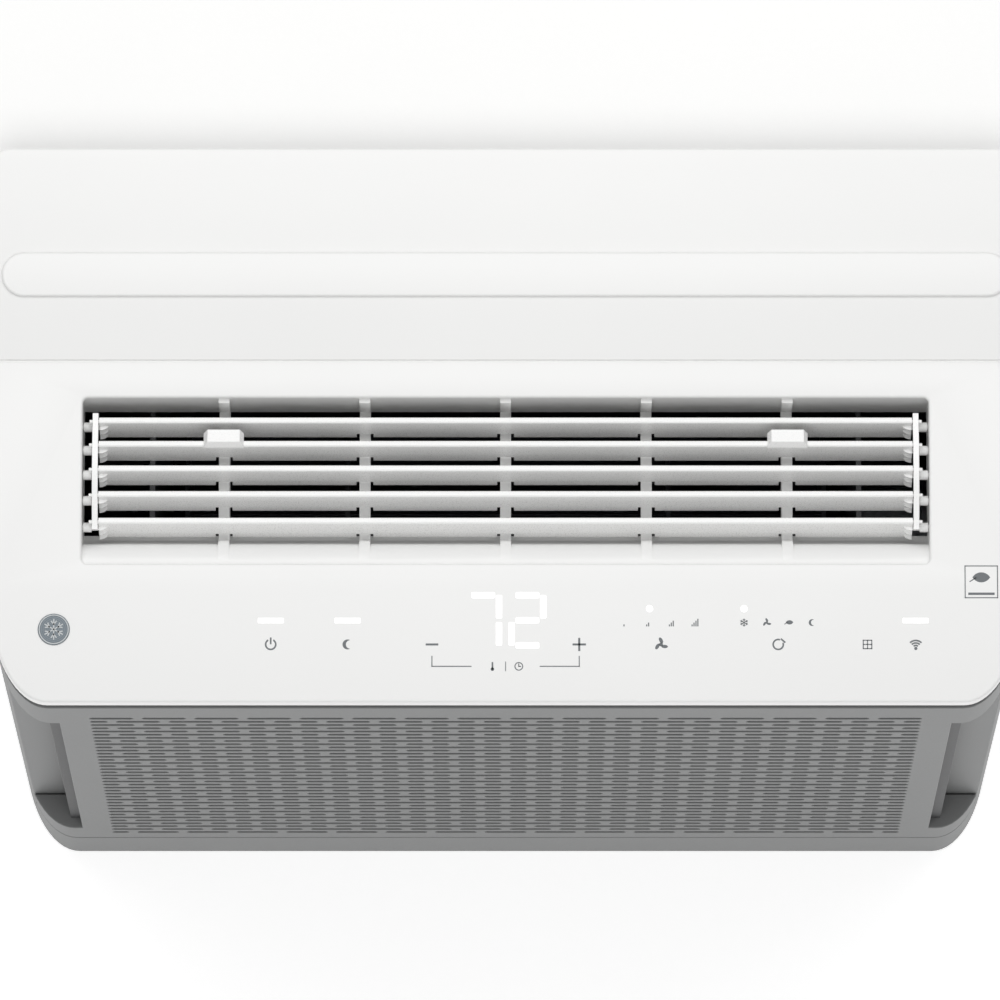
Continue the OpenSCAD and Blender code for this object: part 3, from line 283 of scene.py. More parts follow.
def bead_foam():
    """Expanded polystyrene: welded white beads about 4 mm across."""
    material, tree, place = start("expanded bead foam")
    beads = add(tree, "ShaderNodeTexVoronoi", {"Vector": place, "Scale": per_mm(4)},
                feature="DISTANCE_TO_EDGE")
    edge = add(tree, "ShaderNodeMapRange", {0: beads.outputs["Distance"], 2: 0.12})
    colour = add(tree, "ShaderNodeMix", {0: edge, 6: rgb("#dcdad2"), 7: rgb("#f1f0ea")},
                 data_type="RGBA")
    gloss = add(tree, "ShaderNodeMapRange", {0: edge, 3: 0.85, 4: 0.7})
    return finish(material, tree, colour, gloss, edge, 0.3, IOR=1.5)


def moulded_rubber():
    """Black moulded rubber with a dusty bloom."""
    material, tree, place = start("moulded rubber")
    bloom = add(tree, "ShaderNodeTexNoise", {"Vector": place, "Scale": per_mm(18), "Detail": 4.0})
    colour = add(tree, "ShaderNodeMix", {0: bloom, 6: rgb("#1c1c1d"), 7: rgb("#2e2e2f")},
                 data_type="RGBA")
    gloss = add(tree, "ShaderNodeMapRange", {0: bloom, 3: 0.62, 4: 0.82})
    skin = add(tree, "ShaderNodeTexNoise", {"Vector": place, "Scale": per_mm(0.8)})
    return finish(material, tree, colour, gloss, skin, 0.04, IOR=1.52)


def filter_net():
    """Woven nylon net: threads 1.2 mm apart, drawn as a grid of raised threads over holes painted near
    black, which is painted shade of the space behind the net.
    """
    material, tree, place = start("woven nylon filter net")
    threads = []
    for direction in ("X", "Z"):
        wave = add(tree, "ShaderNodeTexWave", {"Vector": place, "Scale": per_mm(1.2) / 20},
                   bands_direction=direction)
        threads.append(wave.outputs["Fac"])
    woven = add(tree, "ShaderNodeMath", {0: threads[0], 1: threads[1]}, operation="MAXIMUM")
    mask = add(tree, "ShaderNodeMapRange", {0: woven, 1: 0.6, 2: 0.9})
    # the near-black is painted shade seen through the holes; the dark grey is the threads' own colour
    colour = add(tree, "ShaderNodeMix", {0: mask, 6: rgb("#0c0c0d"), 7: rgb("#3c3d3f")},
                 data_type="RGBA")
    gloss = add(tree, "ShaderNodeMapRange", {0: mask, 3: 0.9, 4: 0.55})
    return finish(material, tree, colour, gloss, mask, 0.2, IOR=1.53)


def circuit_board():
    """Glass-epoxy board under green solder mask, with routed tracks 2.5 mm apart."""
    material, tree, place = start("circuit board, green solder mask")
    turned = add(tree, "ShaderNodeMapping", {0: place, 2: (math.pi / 2, 0, 0)})
    tracks = add(tree, "ShaderNodeTexBrick", {"Vector": turned, "Scale": per_mm(20),
                                              "Mortar Size": 0.03}, offset=0.35)
    colour = add(tree, "ShaderNodeMix", {0: tracks.outputs["Fac"], 6: rgb("#1f4a2f"),
                                         7: rgb("#2f6b43")}, data_type="RGBA")
    gloss = add(tree, "ShaderNodeMapRange", {0: tracks.outputs["Fac"], 3: 0.3, 4: 0.4})
    return finish(material, tree, colour, gloss, tracks.outputs["Fac"], 0.05, IOR=1.5)


def zinc_screw():
    """Zinc-plated steel screw: bright, with fine turned marks."""
    material, tree, place = start("zinc-plated screw steel")
    marks = add(tree, "ShaderNodeTexNoise", {"Vector": place, "Scale": per_mm(0.7), "Detail": 3.0})
    colour = add(tree, "ShaderNodeMix", {0: marks, 6: rgb("#aeb0b0"), 7: rgb("#cfd1d0")},
                 data_type="RGBA")
    gloss = add(tree, "ShaderNodeMapRange", {0: marks, 3: 0.22, 4: 0.4})
    return finish(material, tree, colour, gloss, marks, 0.02, Metallic=1.0)


MATERIALS = {
    "white_abs": moulded_abs("moulded ABS, white", "#f1f1f0", "#eeeeed", 0.7, 0.006, 0.38),
    "white_louvre": moulded_abs("moulded ABS, white gloss", "#f6f6f5", "#f3f3f2", 0.7, 0.004, 0.28),
    "grey_abs": moulded_abs("moulded ABS, grey texture", "#757676", "#707171", 0.9, 0.02, 0.5),
    "dark_plastic": moulded_abs("moulded polypropylene, charcoal", "#2b2c2e", "#222325", 0.9, 0.02, 0.5),
    "wheel_plastic": moulded_abs("glass-filled polypropylene, grey", "#5a5c5f", "#4c4e51", 0.8, 0.02, 0.45),
    "filter_net": filter_net(),
    "badge_metal": badge_aluminium(),
    "circuit_board": circuit_board(),
    "fin_aluminium": fin_foil(),
    "copper": copper_tube(),
    "galvanised_steel": galvanised_sheet(),
    "white_foam": bead_foam(),
    "rubber": moulded_rubber(),
    "white_steel": powder_coat("powder-coated steel, soft white", "#e3e4e2", "#dedfdd", 0.4),
    "black_steel": powder_coat("enamelled steel, black", "#242527", "#1b1c1e", 0.35),
    "screw_steel": zinc_screw(),
}
DECK_PAINT = powder_coat("powder-coated steel, bright white", "#fafaf9", "#f7f7f6", 0.4)
LIGHT_GUIDE = glowing("light guide, white", "#ffffff", 0.5)
INK = printed_ink("pad-printed ink, slate grey", "#74787b", "#65696c")
INK_PALE = printed_ink("pad-printed ink, pale", "#c9cccd", "#bfc3c4")

SLOTS = {s["node"]: s["material_slot"] for s in frame["record"]["subparts"]}
for node, cad_object in frame["nodes"].items():
    cad_object.data.materials.clear()
    cad_object.data.materials.append(MATERIALS[SLOTS[node]])

# ---------- mesh helpers ----------


def settle(name, mesh, slot, material=None, body=CHASSIS, stands_for=(), sharp=32):
    """Makes a piece of a mesh, shades it, ties it to its body and hides the nodes it stands for."""
    mesh.materials.clear()
    mesh.materials.append(material or MATERIALS[slot])
    mesh.shade_smooth()
    mesh.set_sharp_from_angle(angle=math.radians(sharp))
    piece = bpy.data.objects.new(name, mesh)
    bpy.context.scene.collection.objects.link(piece)
    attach(piece, body)
    if stands_for:
        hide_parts(*stands_for)
    return piece


def to_mesh(bm, name):
    mesh = bpy.data.meshes.new(name)
    bm.to_mesh(mesh)
    bm.free()
    return mesh


def shell(name, loops):
    """Closed mesh between two flat caps. Each loop is an outline, as a function of its inset, and
    a profile of (inset, h); the first rings share the lower cap and the last the upper one."""
    bm = bmesh.new()
    caps = ([], [])
    for outline, profile in loops:
        rings = [[bm.verts.new(at(x, b, h)) for x, b in outline(inset)] for inset, h in profile]
        for low, high in zip(rings, rings[1:]):
            for i in range(len(low)):
                j = (i + 1) % len(low)
                bm.faces.new((low[i], low[j], high[j], high[i]))
        caps[0].append(rings[0])
        caps[1].append(rings[-1])
    for cap in caps:
        flat = [v for ring in cap for v in ring]
        for corner in geometry.tessellate_polygon([[v.co for v in ring] for ring in cap]):
            bm.faces.new([flat[i] for i in corner])
    bmesh.ops.recalc_face_normals(bm, faces=bm.faces)
    return to_mesh(bm, name)


def arc(cx, cy, rx, ry, start_deg, end_deg, steps):
    angles = [math.radians(start_deg + (end_deg - start_deg) * i / steps) for i in range(steps + 1)]
    return [(cx + rx * math.cos(a), cy + ry * math.sin(a)) for a in angles]


def rounded_box(x0, x1, y0, y1, radius, steps=6):
    """Outline of a rounded rectangle."""
    return (arc(x0 + radius, y0 + radius, radius, radius, 180, 270, steps)
            + arc(x1 - radius, y0 + radius, radius, radius, 270, 360, steps)
            + arc(x1 - radius, y1 - radius, radius, radius, 0, 90, steps)
            + arc(x0 + radius, y1 - radius, radius, radius, 90, 180, steps))


def edge_round(radius, h_top, steps=4):
    """Profile of a rounded upper edge, from the side to the top."""
    return [(radius * (1 - math.cos(a)), h_top + radius * (1 - math.sin(a)))
            for a in [math.pi / 2 * i / steps for i in range(steps + 1)]]


def is_sharp(edge, angle):
    return len(edge.link_faces) == 2 and edge.calc_face_angle(0) > angle


def broken_edges(node, radius, name=None, keep=None, segments=2, extra=None, sharp=32):
    """The CAD node's own shape with its edges broken by a small radius. Edges that keep() picks
    stay crisp, and extra(bm) adds detail before the edges are broken."""
    bm = bmesh.new()
    bm.from_mesh(frame["nodes"][node].data)
    bmesh.ops.remove_doubles(bm, verts=bm.verts, dist=1e-6)
    bmesh.ops.dissolve_limit(bm, angle_limit=math.radians(0.5), verts=bm.verts, edges=bm.edges)
    if extra:
        extra(bm)
    bm.normal_update()
    weight = bm.edges.layers.float.new("bevel_weight_edge")
    for edge in bm.edges:
        if is_sharp(edge, math.radians(34)) and not (keep and keep(edge)):
            edge[weight] = 1.0
    mesh = to_mesh(bm, name or node)
    piece = settle(name or node + "_finished", mesh, SLOTS[node], stands_for=(node,), sharp=sharp,
                   body=frame["nodes"][node]["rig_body"])
    bevel = piece.modifiers.new("broken edges", "BEVEL")
    bevel.limit_method = "WEIGHT"
    bevel.width = radius * MM
    bevel.segments = segments
    bevel.harden_normals = True
    return piece


# ---------- repeated shapes ----------


def copies_tree():
    """Node tree that repeats the object's own mesh in rows and columns."""
    tree = bpy.data.node_groups.new("rows and columns", "GeometryNodeTree")
    sockets = [("Geometry", "NodeSocketGeometry"), ("Columns", "NodeSocketInt"),
               ("Rows", "NodeSocketInt"), ("Column Step", "NodeSocketVector"),
               ("Row Step", "NodeSocketVector"), ("Material", "NodeSocketMaterial")]
    for name, kind in sockets:
        tree.interface.new_socket(name, in_out="INPUT", socket_type=kind)
    tree.interface.new_socket("Geometry", in_out="OUTPUT", socket_type="NodeSocketGeometry")
    given = add(tree, "NodeGroupInput").outputs
    number = add(tree, "GeometryNodeInputIndex")
    column = add(tree, "ShaderNodeMath", {0: number, 1: given["Columns"]}, operation="FLOORED_MODULO")
    rest = add(tree, "ShaderNodeMath", {0: number, 1: given["Columns"]}, operation="DIVIDE")
    row = add(tree, "ShaderNodeMath", {0: rest}, operation="FLOOR")
    across = add(tree, "ShaderNodeVectorMath", {0: given["Column Step"], "Scale": column},
                 operation="SCALE")
    down = add(tree, "ShaderNodeVectorMath", {0: given["Row Step"], "Scale": row}, operation="SCALE")
    spot = add(tree, "ShaderNodeVectorMath", {0: across, 1: down}, operation="ADD")
    total = add(tree, "ShaderNodeMath", {0: given["Columns"], 1: given["Rows"]}, operation="MULTIPLY")
    points = add(tree, "GeometryNodePoints", {"Count": total, "Position": spot})
    placed = add(tree, "GeometryNodeInstanceOnPoints", {"Points": points,
                                                        "Instance": given["Geometry"]})
    real = add(tree, "GeometryNodeRealizeInstances", {0: placed})
    painted = add(tree, "GeometryNodeSetMaterial", {"Geometry": real, "Material": given["Material"]})
    add(tree, "NodeGroupOutput", {0: painted})
    return tree


COPIES = copies_tree()


def repeated(unit, columns, column_step, rows, row_step, material):
    """Plain mesh of the unit mesh repeated by the node tree above. Steps are in millimetres."""
    carrier = bpy.data.objects.new("unit", unit)
    bpy.context.scene.collection.objects.link(carrier)
    modifier = carrier.modifiers.new("copies", "NODES")
    modifier.node_group = COPIES
    values = {"Columns": columns, "Rows": rows, "Column Step": [v * MM for v in column_step],
              "Row Step": [v * MM for v in row_step], "Material": material}
    for item in COPIES.interface.items_tree:
        if item.name in values:
            modifier[item.identifier] = values[item.name]
    bpy.context.view_layer.update()
    evaluated = carrier.evaluated_get(bpy.context.evaluated_depsgraph_get())
    mesh = bpy.data.meshes.new_from_object(evaluated)
    bpy.data.objects.remove(carrier)
    return mesh


def joined(name, meshes, weld=1e-6):
    bm = bmesh.new()
    for mesh in meshes:
        bm.from_mesh(mesh)
    bmesh.ops.remove_doubles(bm, verts=bm.verts, dist=weld)
    return to_mesh(bm, name)


def box_mesh(name, x0, x1, b0, b1, h0, h1):
    bm = bmesh.new()
    corners = [bm.verts.new(at(x, b, h)) for x in (x0, x1) for b in (b0, b1) for h in (h0, h1)]
    for face in ((0, 1, 3, 2), (4, 6, 7, 5), (0, 4, 5, 1), (2, 3, 7, 6), (0, 2, 6, 4), (1, 5, 7, 3)):
        bm.faces.new([corners[i] for i in face])
    bmesh.ops.recalc_face_normals(bm, faces=bm.faces)
    return to_mesh(bm, name)


# ---------- white top panels ----------

CORNER_STEPS = 20
PANEL_EDGE = 1.6                      # radius of the panels' upper edge
SEAM_EDGE = 0.6
OPENING_EDGE = 1.5
OPENING_CORNER = 3.0


def front_outline(inset):
    rx, ry = CORNER_X - inset, CORNER_Y - inset
    side = HALF - inset
    rear = SEAM_FRONT - inset * SEAM_EDGE / PANEL_EDGE
    return (arc(-side + rx, inset + ry, rx, ry, 180, 270, CORNER_STEPS)
            + arc(side - rx, inset + ry, rx, ry, 270, 360, CORNER_STEPS)
            + [(side, rear), (-side, rear)])


def rear_outline(inset):
    side = HALF - inset
    radius = REAR_CORNER - inset
    front = SEAM_REAR + inset * SEAM_EDGE / PANEL_EDGE
    return ([(-side, front), (side, front)]
            + arc(side - radius, INDOOR - inset - radius, radius, radius, 0, 90, 8)
            + arc(-side + radius, INDOOR - inset - radius, radius, radius, 90, 180, 8))


def opening_outline(inset):
    return rounded_box(-OPEN_HALF - inset, OPEN_HALF + inset, OPEN_FRONT - inset, OPEN_REAR + inset,
                       OPENING_CORNER + inset)


panel_profile = [(WALL, WALL), (WALL, CAP), (0, CAP)] + edge_round(PANEL_EDGE, 0)
opening_profile = [(0, WALL)] + edge_round(OPENING_EDGE, 0)
settle("control_panel_moulding",
       shell("control_panel", [(front_outline, panel_profile), (opening_outline, opening_profile)]),
       "white_abs", stands_for=("control_panel",))
settle("rear_cover_moulding", shell("rear_cover", [(rear_outline, panel_profile)]),
       "white_abs", stands_for=("rear_cover",))

settle("seam_tongue", box_mesh("seam_tongue", -HALF + 0.8, HALF - 0.8, SEAM_FRONT - 0.2, SEAM_REAR + 0.2,
                               1.1, 2.8), "white_abs")

PAD = span("sash_pad")


def pad_outline(inset):
    radius = (PAD[3] - PAD[2]) / 2
    middle = (PAD[3] + PAD[2]) / 2
    reach = PAD[1] - radius
    radius -= inset
    return (arc(reach, middle, radius, radius, -90, 90, 16)
            + arc(-reach, middle, radius, radius, 90, 270, 16))


settle("sash_pad_moulding",
       shell("sash_pad", [(pad_outline, [(0, PAD[5])] + edge_round(1.4, PAD[4]))]),
       "white_abs", stands_for=("sash_pad",))

# ---------- control strip ----------

PRINT = 0.06                          # half the thickness of a printed or lit mark
LED_ROW, LABEL_ROW, SMALL_ROW, DOT_ROW, BRACKET_ROW = 41.0, 29.0, 40.0, 47.0, 18.0
LED_W, LED_D, DOT_R = 12.6, 2.5, 1.7  # the lit bars and the lit dots


def rectangle(x, b, width, depth):
    return [(x - width / 2, b - depth / 2), (x + width / 2, b - depth / 2),
            (x + width / 2, b + depth / 2), (x - width / 2, b + depth / 2)]


def line(x0, b0, x1, b1, width):
    """A straight stroke with square ends."""
    along = Vector((x1 - x0, b1 - b0)).normalized() * width / 2
    side = Vector((-along.y, along.x))
    return [(x0 - along.x + side.x, b0 - along.y + side.y), (x1 + along.x + side.x, b1 + along.y + side.y),
            (x1 + along.x - side.x, b1 + along.y - side.y), (x0 - along.x - side.x, b0 - along.y - side.y)]


def ring(x, b, radius, width, start_deg=0, end_deg=360, steps=28):
    return (arc(x, b, radius + width / 2, radius + width / 2, start_deg, end_deg, steps)
            + arc(x, b, radius - width / 2, radius - width / 2, end_deg, start_deg, steps))


def disc(x, b, radius, steps=24):
    return arc(x, b, radius, radius, 0, 360 - 360 / steps, steps - 1)


def marks_mesh(name, outlines, h=0.0, thickness=PRINT):
    """Flat marks that stand a hair above the panel."""
    bm = bmesh.new()
    for points in outlines:
        low = [bm.verts.new(at(x, b, h + thickness)) for x, b in points]
        high = [bm.verts.new(at(x, b, h - thickness)) for x, b in points]
        for i in range(len(points)):
            j = (i + 1) % len(points)
            bm.faces.new((low[i], low[j], high[j], high[i]))
        for cap in (low, high):
            for corner in geometry.tessellate_polygon([[v.co for v in cap]]):
                bm.faces.new([cap[i] for i in corner])
    bmesh.ops.recalc_face_normals(bm, faces=bm.faces)
    return to_mesh(bm, name)


DIGIT_W, DIGIT_H, STROKE = 18.5, 28.1, 2.9
DIGIT_ROW = 27.1
DIGIT_GAPS = (1.8, 1.5)               # from the middle of the display to each digit
SEGMENTS = {"7": "abc", "2": "abged"}


def digit(symbol, x_left, b_low):
    """The lit segments of a seven-segment digit, each with cut corners."""
    gap = STROKE / 2 + 0.6
    x0, x1 = x_left + STROKE / 2, x_left + DIGIT_W - STROKE / 2
    b0, b1 = b_low + STROKE / 2, b_low + DIGIT_H - STROKE / 2
    middle = b_low + DIGIT_H / 2
    strokes = {"a": (x0 + gap, b1, x1 - gap, b1), "g": (x0 + gap, middle, x1 - gap, middle),
               "d": (x0 + gap, b0, x1 - gap, b0), "b": (x1, middle + gap / 2, x1, b1),
               "c": (x1, b0, x1, middle - gap / 2), "e": (x0, b0, x0, middle - gap / 2)}
    shapes = []
    for key in SEGMENTS[symbol]:
        xa, ba, xb, bb = strokes[key]
        wide, deep = abs(xb - xa) + (STROKE if xa == xb else 0), abs(bb - ba) + (STROKE if ba == bb else 0)
        cx, cb = (xa + xb) / 2, (ba + bb) / 2
        shapes.append(rounded_box(cx - wide / 2, cx + wide / 2, cb - deep / 2, cb + deep / 2, 0.5, 2))
    return shapes


def fan_symbol(x, b, size):
    """Three swept blades round a hub."""
    shapes = [disc(x, b, size * 0.16)]
    for turn in (90, 210, 330):
        a = math.radians(turn)
        centre = (x + size * 0.34 * math.cos(a), b + size * 0.34 * math.sin(a))
        blade = arc(0, 0, size * 0.27, size * 0.14, 0, 345, 17)
        lean = a + math.radians(28)
        shapes.append([(centre[0] + px * math.cos(lean) - py * math.sin(lean),
                        centre[1] + px * math.sin(lean) + py * math.cos(lean)) for px, py in blade])
    return shapes


def snow_symbol(x, b, size, width):
    shapes = []
    for turn in (30, 90, 150):
        a = math.radians(turn)
        dx, db = size / 2 * math.cos(a), size / 2 * math.sin(a)
        shapes.append(line(x - dx, b - db, x + dx, b + db, width))
        for end in (-1, 1):
            for lean in (-1, 1):
                tip = a + (0 if end > 0 else math.pi) + lean * math.radians(38)
                x0, b0 = x + end * dx * 0.5, b + end * db * 0.5
                shapes.append(line(x0, b0, x0 + size * 0.2 * math.cos(tip),
                                   b0 + size * 0.2 * math.sin(tip), width))
    return shapes


def moon_symbol(x, b, size):
    outer = arc(x, b, size / 2, size / 2, 60, 300, 20)
    inner = arc(x + size * 0.26, b, size * 0.43, size * 0.43, 268, 92, 16)
    return [outer + inner]


def leaf_symbol(x, b, size, width):
    upper = arc(x, b - size * 0.25, size * 0.56, size * 0.56, 30, 150, 10)
    lower = arc(x, b + size * 0.31, size * 0.56, size * 0.56, 210, 330, 10)
    return [line(x - size * 0.62, b - size * 0.2, x - size * 0.3, b, width), upper + lower]


def level_symbol(x, b, size, level):
    """One to four rising bars."""
    step = size / 4
    return [rectangle(x - size / 2 + step * (k + 0.5), b - size / 2 + step * (k + 1) / 2,
                      step * 0.6, step * (k + 1)) for k in range(level)]


def signal_symbol(x, b, size, width):
    foot = b - size * 0.4
    return ([disc(x, foot, width)]
            + [ring(x, foot, size * r, width, 45, 135, 10) for r in (0.3, 0.55, 0.8)])


def clock_symbol(x, b, size, width):
    return [ring(x, b, size / 2, width), line(x, b, x, b + size * 0.3, width),
            line(x, b, x + size * 0.22, b, width)]


def thermometer_symbol(x, b, size, width):
    return [disc(x, b - size * 0.32, size * 0.2), line(x, b - size * 0.3, x, b + size * 0.4, width * 1.6)]


def grid_symbol(x, b, size, width):
    lines = [line(x - size / 2, b + k, x + size / 2, b + k, width) for k in (-size / 2, 0, size / 2)]
    return lines + [line(x + k, b - size / 2, x + k, b + size / 2, width)
                    for k in (-size / 2, 0, size / 2)]


def power_symbol(x, b, size, width):
    return [ring(x, b, size / 2, width, 120, 420), line(x, b + size * 0.1, x, b + size * 0.62, width)]


THIN, BOLD = 0.5, 0.8
ICON, SMALL_ICON = 5.0, 3.8
POWER_X, SLEEP_X, SIGNAL_X, FILTER_X = -115.8, -77.9, 202.2, 178.4
TEMP_X = 36.3                         # minus and plus keys, either side of the middle
SPEED_X, MODE_X = 76.6, 134.4
SMALL_STEP = 11.2
LABEL_SQUARE = (234.8, 60.5, 16.0)


def ink_marks():
    shapes = power_symbol(POWER_X, LABEL_ROW, ICON, BOLD) + moon_symbol(SLEEP_X, LABEL_ROW, ICON)
    shapes += [line(-TEMP_X - 2.6, LABEL_ROW, -TEMP_X + 2.6, LABEL_ROW, 1.0),
               line(TEMP_X - 2.8, LABEL_ROW, TEMP_X + 2.8, LABEL_ROW, 1.0),
               line(TEMP_X, LABEL_ROW - 2.8, TEMP_X, LABEL_ROW + 2.8, 1.0)]
    for side in (-1, 1):
        shapes += [line(side * TEMP_X, BRACKET_ROW, side * TEMP_X * 0.47, BRACKET_ROW, THIN),
                   line(side * TEMP_X, BRACKET_ROW, side * TEMP_X, BRACKET_ROW + 5, THIN)]
    shapes += thermometer_symbol(-6.5, BRACKET_ROW, SMALL_ICON + 0.6, THIN)
    shapes += clock_symbol(6.5, BRACKET_ROW, SMALL_ICON, THIN)
    shapes += [line(0, BRACKET_ROW - 2.2, 0, BRACKET_ROW + 2.2, 0.4)]
    for k in range(4):
        shapes += level_symbol(SPEED_X + (k - 1.5) * SMALL_STEP, SMALL_ROW, SMALL_ICON, k + 1)
    first = MODE_X - 1.5 * SMALL_STEP
    shapes += snow_symbol(first, SMALL_ROW, SMALL_ICON, 0.35)
    shapes += fan_symbol(first + SMALL_STEP, SMALL_ROW, SMALL_ICON)
    shapes += leaf_symbol(first + 2 * SMALL_STEP, SMALL_ROW, SMALL_ICON, 0.35)
    shapes += moon_symbol(first + 3 * SMALL_STEP, SMALL_ROW, SMALL_ICON * 0.9)
    shapes += fan_symbol(SPEED_X, LABEL_ROW, ICON + 1)
    shapes += [ring(MODE_X, LABEL_ROW, ICON / 2, BOLD, 70, 380),
               line(MODE_X + 1.6, LABEL_ROW + 2.6, MODE_X + 3.2, LABEL_ROW + 1.2, BOLD)]
    shapes += grid_symbol(FILTER_X, LABEL_ROW, ICON - 0.8, THIN)
    shapes += signal_symbol(SIGNAL_X, LABEL_ROW, ICON, BOLD)
    x, b, size = LABEL_SQUARE
    for side in (-1, 1):
        shapes += [line(x + side * size / 2, b - size / 2, x + side * size / 2, b + size / 2, THIN),
                   line(x - size / 2, b + side * size / 2, x + size / 2, b + side * size / 2, THIN)]
    shapes += leaf_symbol(x, b + 2, 9, THIN) + [rectangle(x, b - 6, size - 3, 1.2)]
    return shapes


def lit_marks():
    shapes = digit("7", -DIGIT_W - DIGIT_GAPS[0], DIGIT_ROW) + digit("2", DIGIT_GAPS[1], DIGIT_ROW)
    shapes += [rectangle(x, LED_ROW, LED_W, LED_D) for x in (POWER_X, SLEEP_X, SIGNAL_X)]
    shapes += [disc(x, DOT_ROW, DOT_R) for x in (SPEED_X - SMALL_STEP / 2, MODE_X - 1.5 * SMALL_STEP)]
    return shapes


settle("control_symbols", marks_mesh("control_symbols", ink_marks()), "badge_metal", INK)
settle("display_segments", marks_mesh("display_segments", lit_marks()), "white_louvre", LIGHT_GUIDE)


def badge_emblem():
    """A plain round emblem: a raised rim and a six-armed frost mark."""
    x0, x1, b0, b1, h0 = span("badge")[:5]
    x, b, radius = (x0 + x1) / 2, (b0 + b1) / 2, (x1 - x0) / 2
    shapes = [ring(x, b, radius - 0.7, 0.5)] + snow_symbol(x, b, radius * 1.25, 0.6)
    settle("badge_emblem", marks_mesh("badge_emblem", shapes, h0 - PRINT), "badge_metal", INK_PALE)


badge_emblem()
broken_edges("badge", 0.25)

# ---------- outlet, louvres and links ----------


BLADE_END, BLADE_TOP_T = 201.5, 3.2
BLADE_LEAN = math.radians(15)
BLADE_MID, BLADE_PITCH = 118.3, 12.7
PETALS = ((3.8, 4.6), (8.8, 4.2), (13.8, 4.0))      # place along the lean, and reach
PETAL_RISE, PETAL_T = 2.6, 0.8
PETAL_SINK, BITE = 0.8, 0.2           # how far a petal's roots sit inside the blade


def petals(bm, number):
    """Three small gusset leaves on the leaning front face of a blade, at each end."""
    top_h = span(f"louvre_blade_{number}")[4]
    top_b = BLADE_MID + (3 - number) * BLADE_PITCH - BLADE_TOP_T / 2 + PETAL_SINK
    end = BLADE_END - BITE
    for side in (-1, 1):
        for along, reach in PETALS:
            face = top_b - along * math.sin(BLADE_LEAN)
            drop = top_h + along * math.cos(BLADE_LEAN)
            leaf = [(end, face), (end, face - PETAL_RISE)]
            leaf += arc(end, face, reach, PETAL_RISE, -90, -180, 6)[1:]
            low = [bm.verts.new(at(side * x, b, drop + PETAL_T)) for x, b in leaf]
            high = [bm.verts.new(at(side * x, b, drop)) for x, b in leaf]
            faces = [bm.faces.new(low), bm.faces.new(high)]
            for i in range(len(leaf)):
                j = (i + 1) % len(leaf)
                faces.append(bm.faces.new((low[i], low[j], high[j], high[i])))
            bmesh.ops.recalc_face_normals(bm, faces=faces)


for number in range(1, 6):
    broken_edges(f"louvre_blade_{number}", 0.45, extra=lambda bm, number=number: petals(bm, number))
for side in ("left", "right"):
    broken_edges(f"tie_bar_{side}", 0.5, segments=3)
    broken_edges(f"grip_tab_{side}", 0.3)
broken_edges("outlet_frame", 0.35)

# ---------- grey front ----------

GRILLE = span("intake_grille")
SLOT_W, SLOT_H, SLOT_WEB, SLOT_PITCH = 21.45, 4.1, 4.65, 8.59
SLOT_ROWS, SLOT_COLUMNS = 38, 16
FIRST_ROW = 43.2
SLOT_EDGE = 0.35                      # chamfer round a slot's mouth
FRONT_T = GRILLE[3]


def on_grille(edge):
    """True on the window that the grille closes, so that no groove shows round it."""
    for vert in edge.verts:
        x, h = vert.co.x / MM, (TOP - vert.co.z) / MM
        if abs(x) > GRILLE[1] + 0.1 or not GRILLE[4] - 0.1 < h < GRILLE[5] + 0.1:
            return False
    return True


def grille_cell(name, x, width, middles):
    """One brick of the grille round one slot, closed at the front and the back."""
    h = FIRST_ROW
    slot = width - SLOT_WEB
    bm = bmesh.new()
    brick = [(x, h - SLOT_PITCH / 2)] + ([(x + width / 2, h - SLOT_PITCH / 2)] if middles else [])
    brick += [(x + width, h - SLOT_PITCH / 2), (x + width, h + SLOT_PITCH / 2)]
    brick += [(x + width / 2, h + SLOT_PITCH / 2)] if middles else []
    brick += [(x, h + SLOT_PITCH / 2)]

    def slot_points(grow):
        return rounded_box(x + SLOT_WEB / 2 - grow, x + SLOT_WEB / 2 + slot + grow,
                           h - SLOT_H / 2 - grow, h + SLOT_H / 2 + grow, 1.1 + grow, 1)

    rings = [[bm.verts.new(at(px, b, ph)) for px, ph in points]
             for points, b in ((slot_points(SLOT_EDGE), 0), (slot_points(0), SLOT_EDGE),
                               (slot_points(0), FRONT_T))]
    for near, far in zip(rings, rings[1:]):
        for i in range(len(near)):
            j = (i + 1) % len(near)
            bm.faces.new((near[i], near[j], far[j], far[i]))
    for ring_verts, b in ((rings[0], 0), (rings[-1], FRONT_T)):
        outer = [bm.verts.new(at(px, b, ph)) for px, ph in brick]
        flat = outer + ring_verts
        for corner in geometry.tessellate_polygon([[v.co for v in outer], [v.co for v in ring_verts]]):
            bm.faces.new([flat[i] for i in corner])
    bmesh.ops.recalc_face_normals(bm, faces=bm.faces)
    if sum(f.normal.y * f.calc_area() for f in bm.faces if f.calc_center_median().y < FRONT + 0.0001) > 0:
        bmesh.ops.reverse_faces(bm, faces=bm.faces)
    return to_mesh(bm, name)


def grille_border(half, top, bottom):
    """Plain rim between the bricks and the edge of the grille."""
    bm = bmesh.new()
    rings = {}
    for key, b in (("front", 0), ("back", FRONT_T)):
        inner = [(-half, top), (half, top), (half, bottom), (-half, bottom)]
        outer = [(-GRILLE[1], GRILLE[4]), (GRILLE[1], GRILLE[4]), (GRILLE[1], GRILLE[5]),
                 (-GRILLE[1], GRILLE[5])]
        rings[key] = [[bm.verts.new(at(x, b, h)) for x, h in points] for points in (inner, outer)]
        for i in range(4):
            j = (i + 1) % 4
            bm.faces.new((rings[key][0][i], rings[key][0][j], rings[key][1][j], rings[key][1][i]))
    for i in range(4):
        j = (i + 1) % 4
        bm.faces.new((rings["front"][1][i], rings["front"][1][j], rings["back"][1][j],
                      rings["back"][1][i]))
        bm.faces.new((rings["front"][0][i], rings["front"][0][j], rings["back"][0][j],
                      rings["back"][0][i]))
    bmesh.ops.recalc_face_normals(bm, faces=bm.faces)
    return to_mesh(bm, "grille_border")


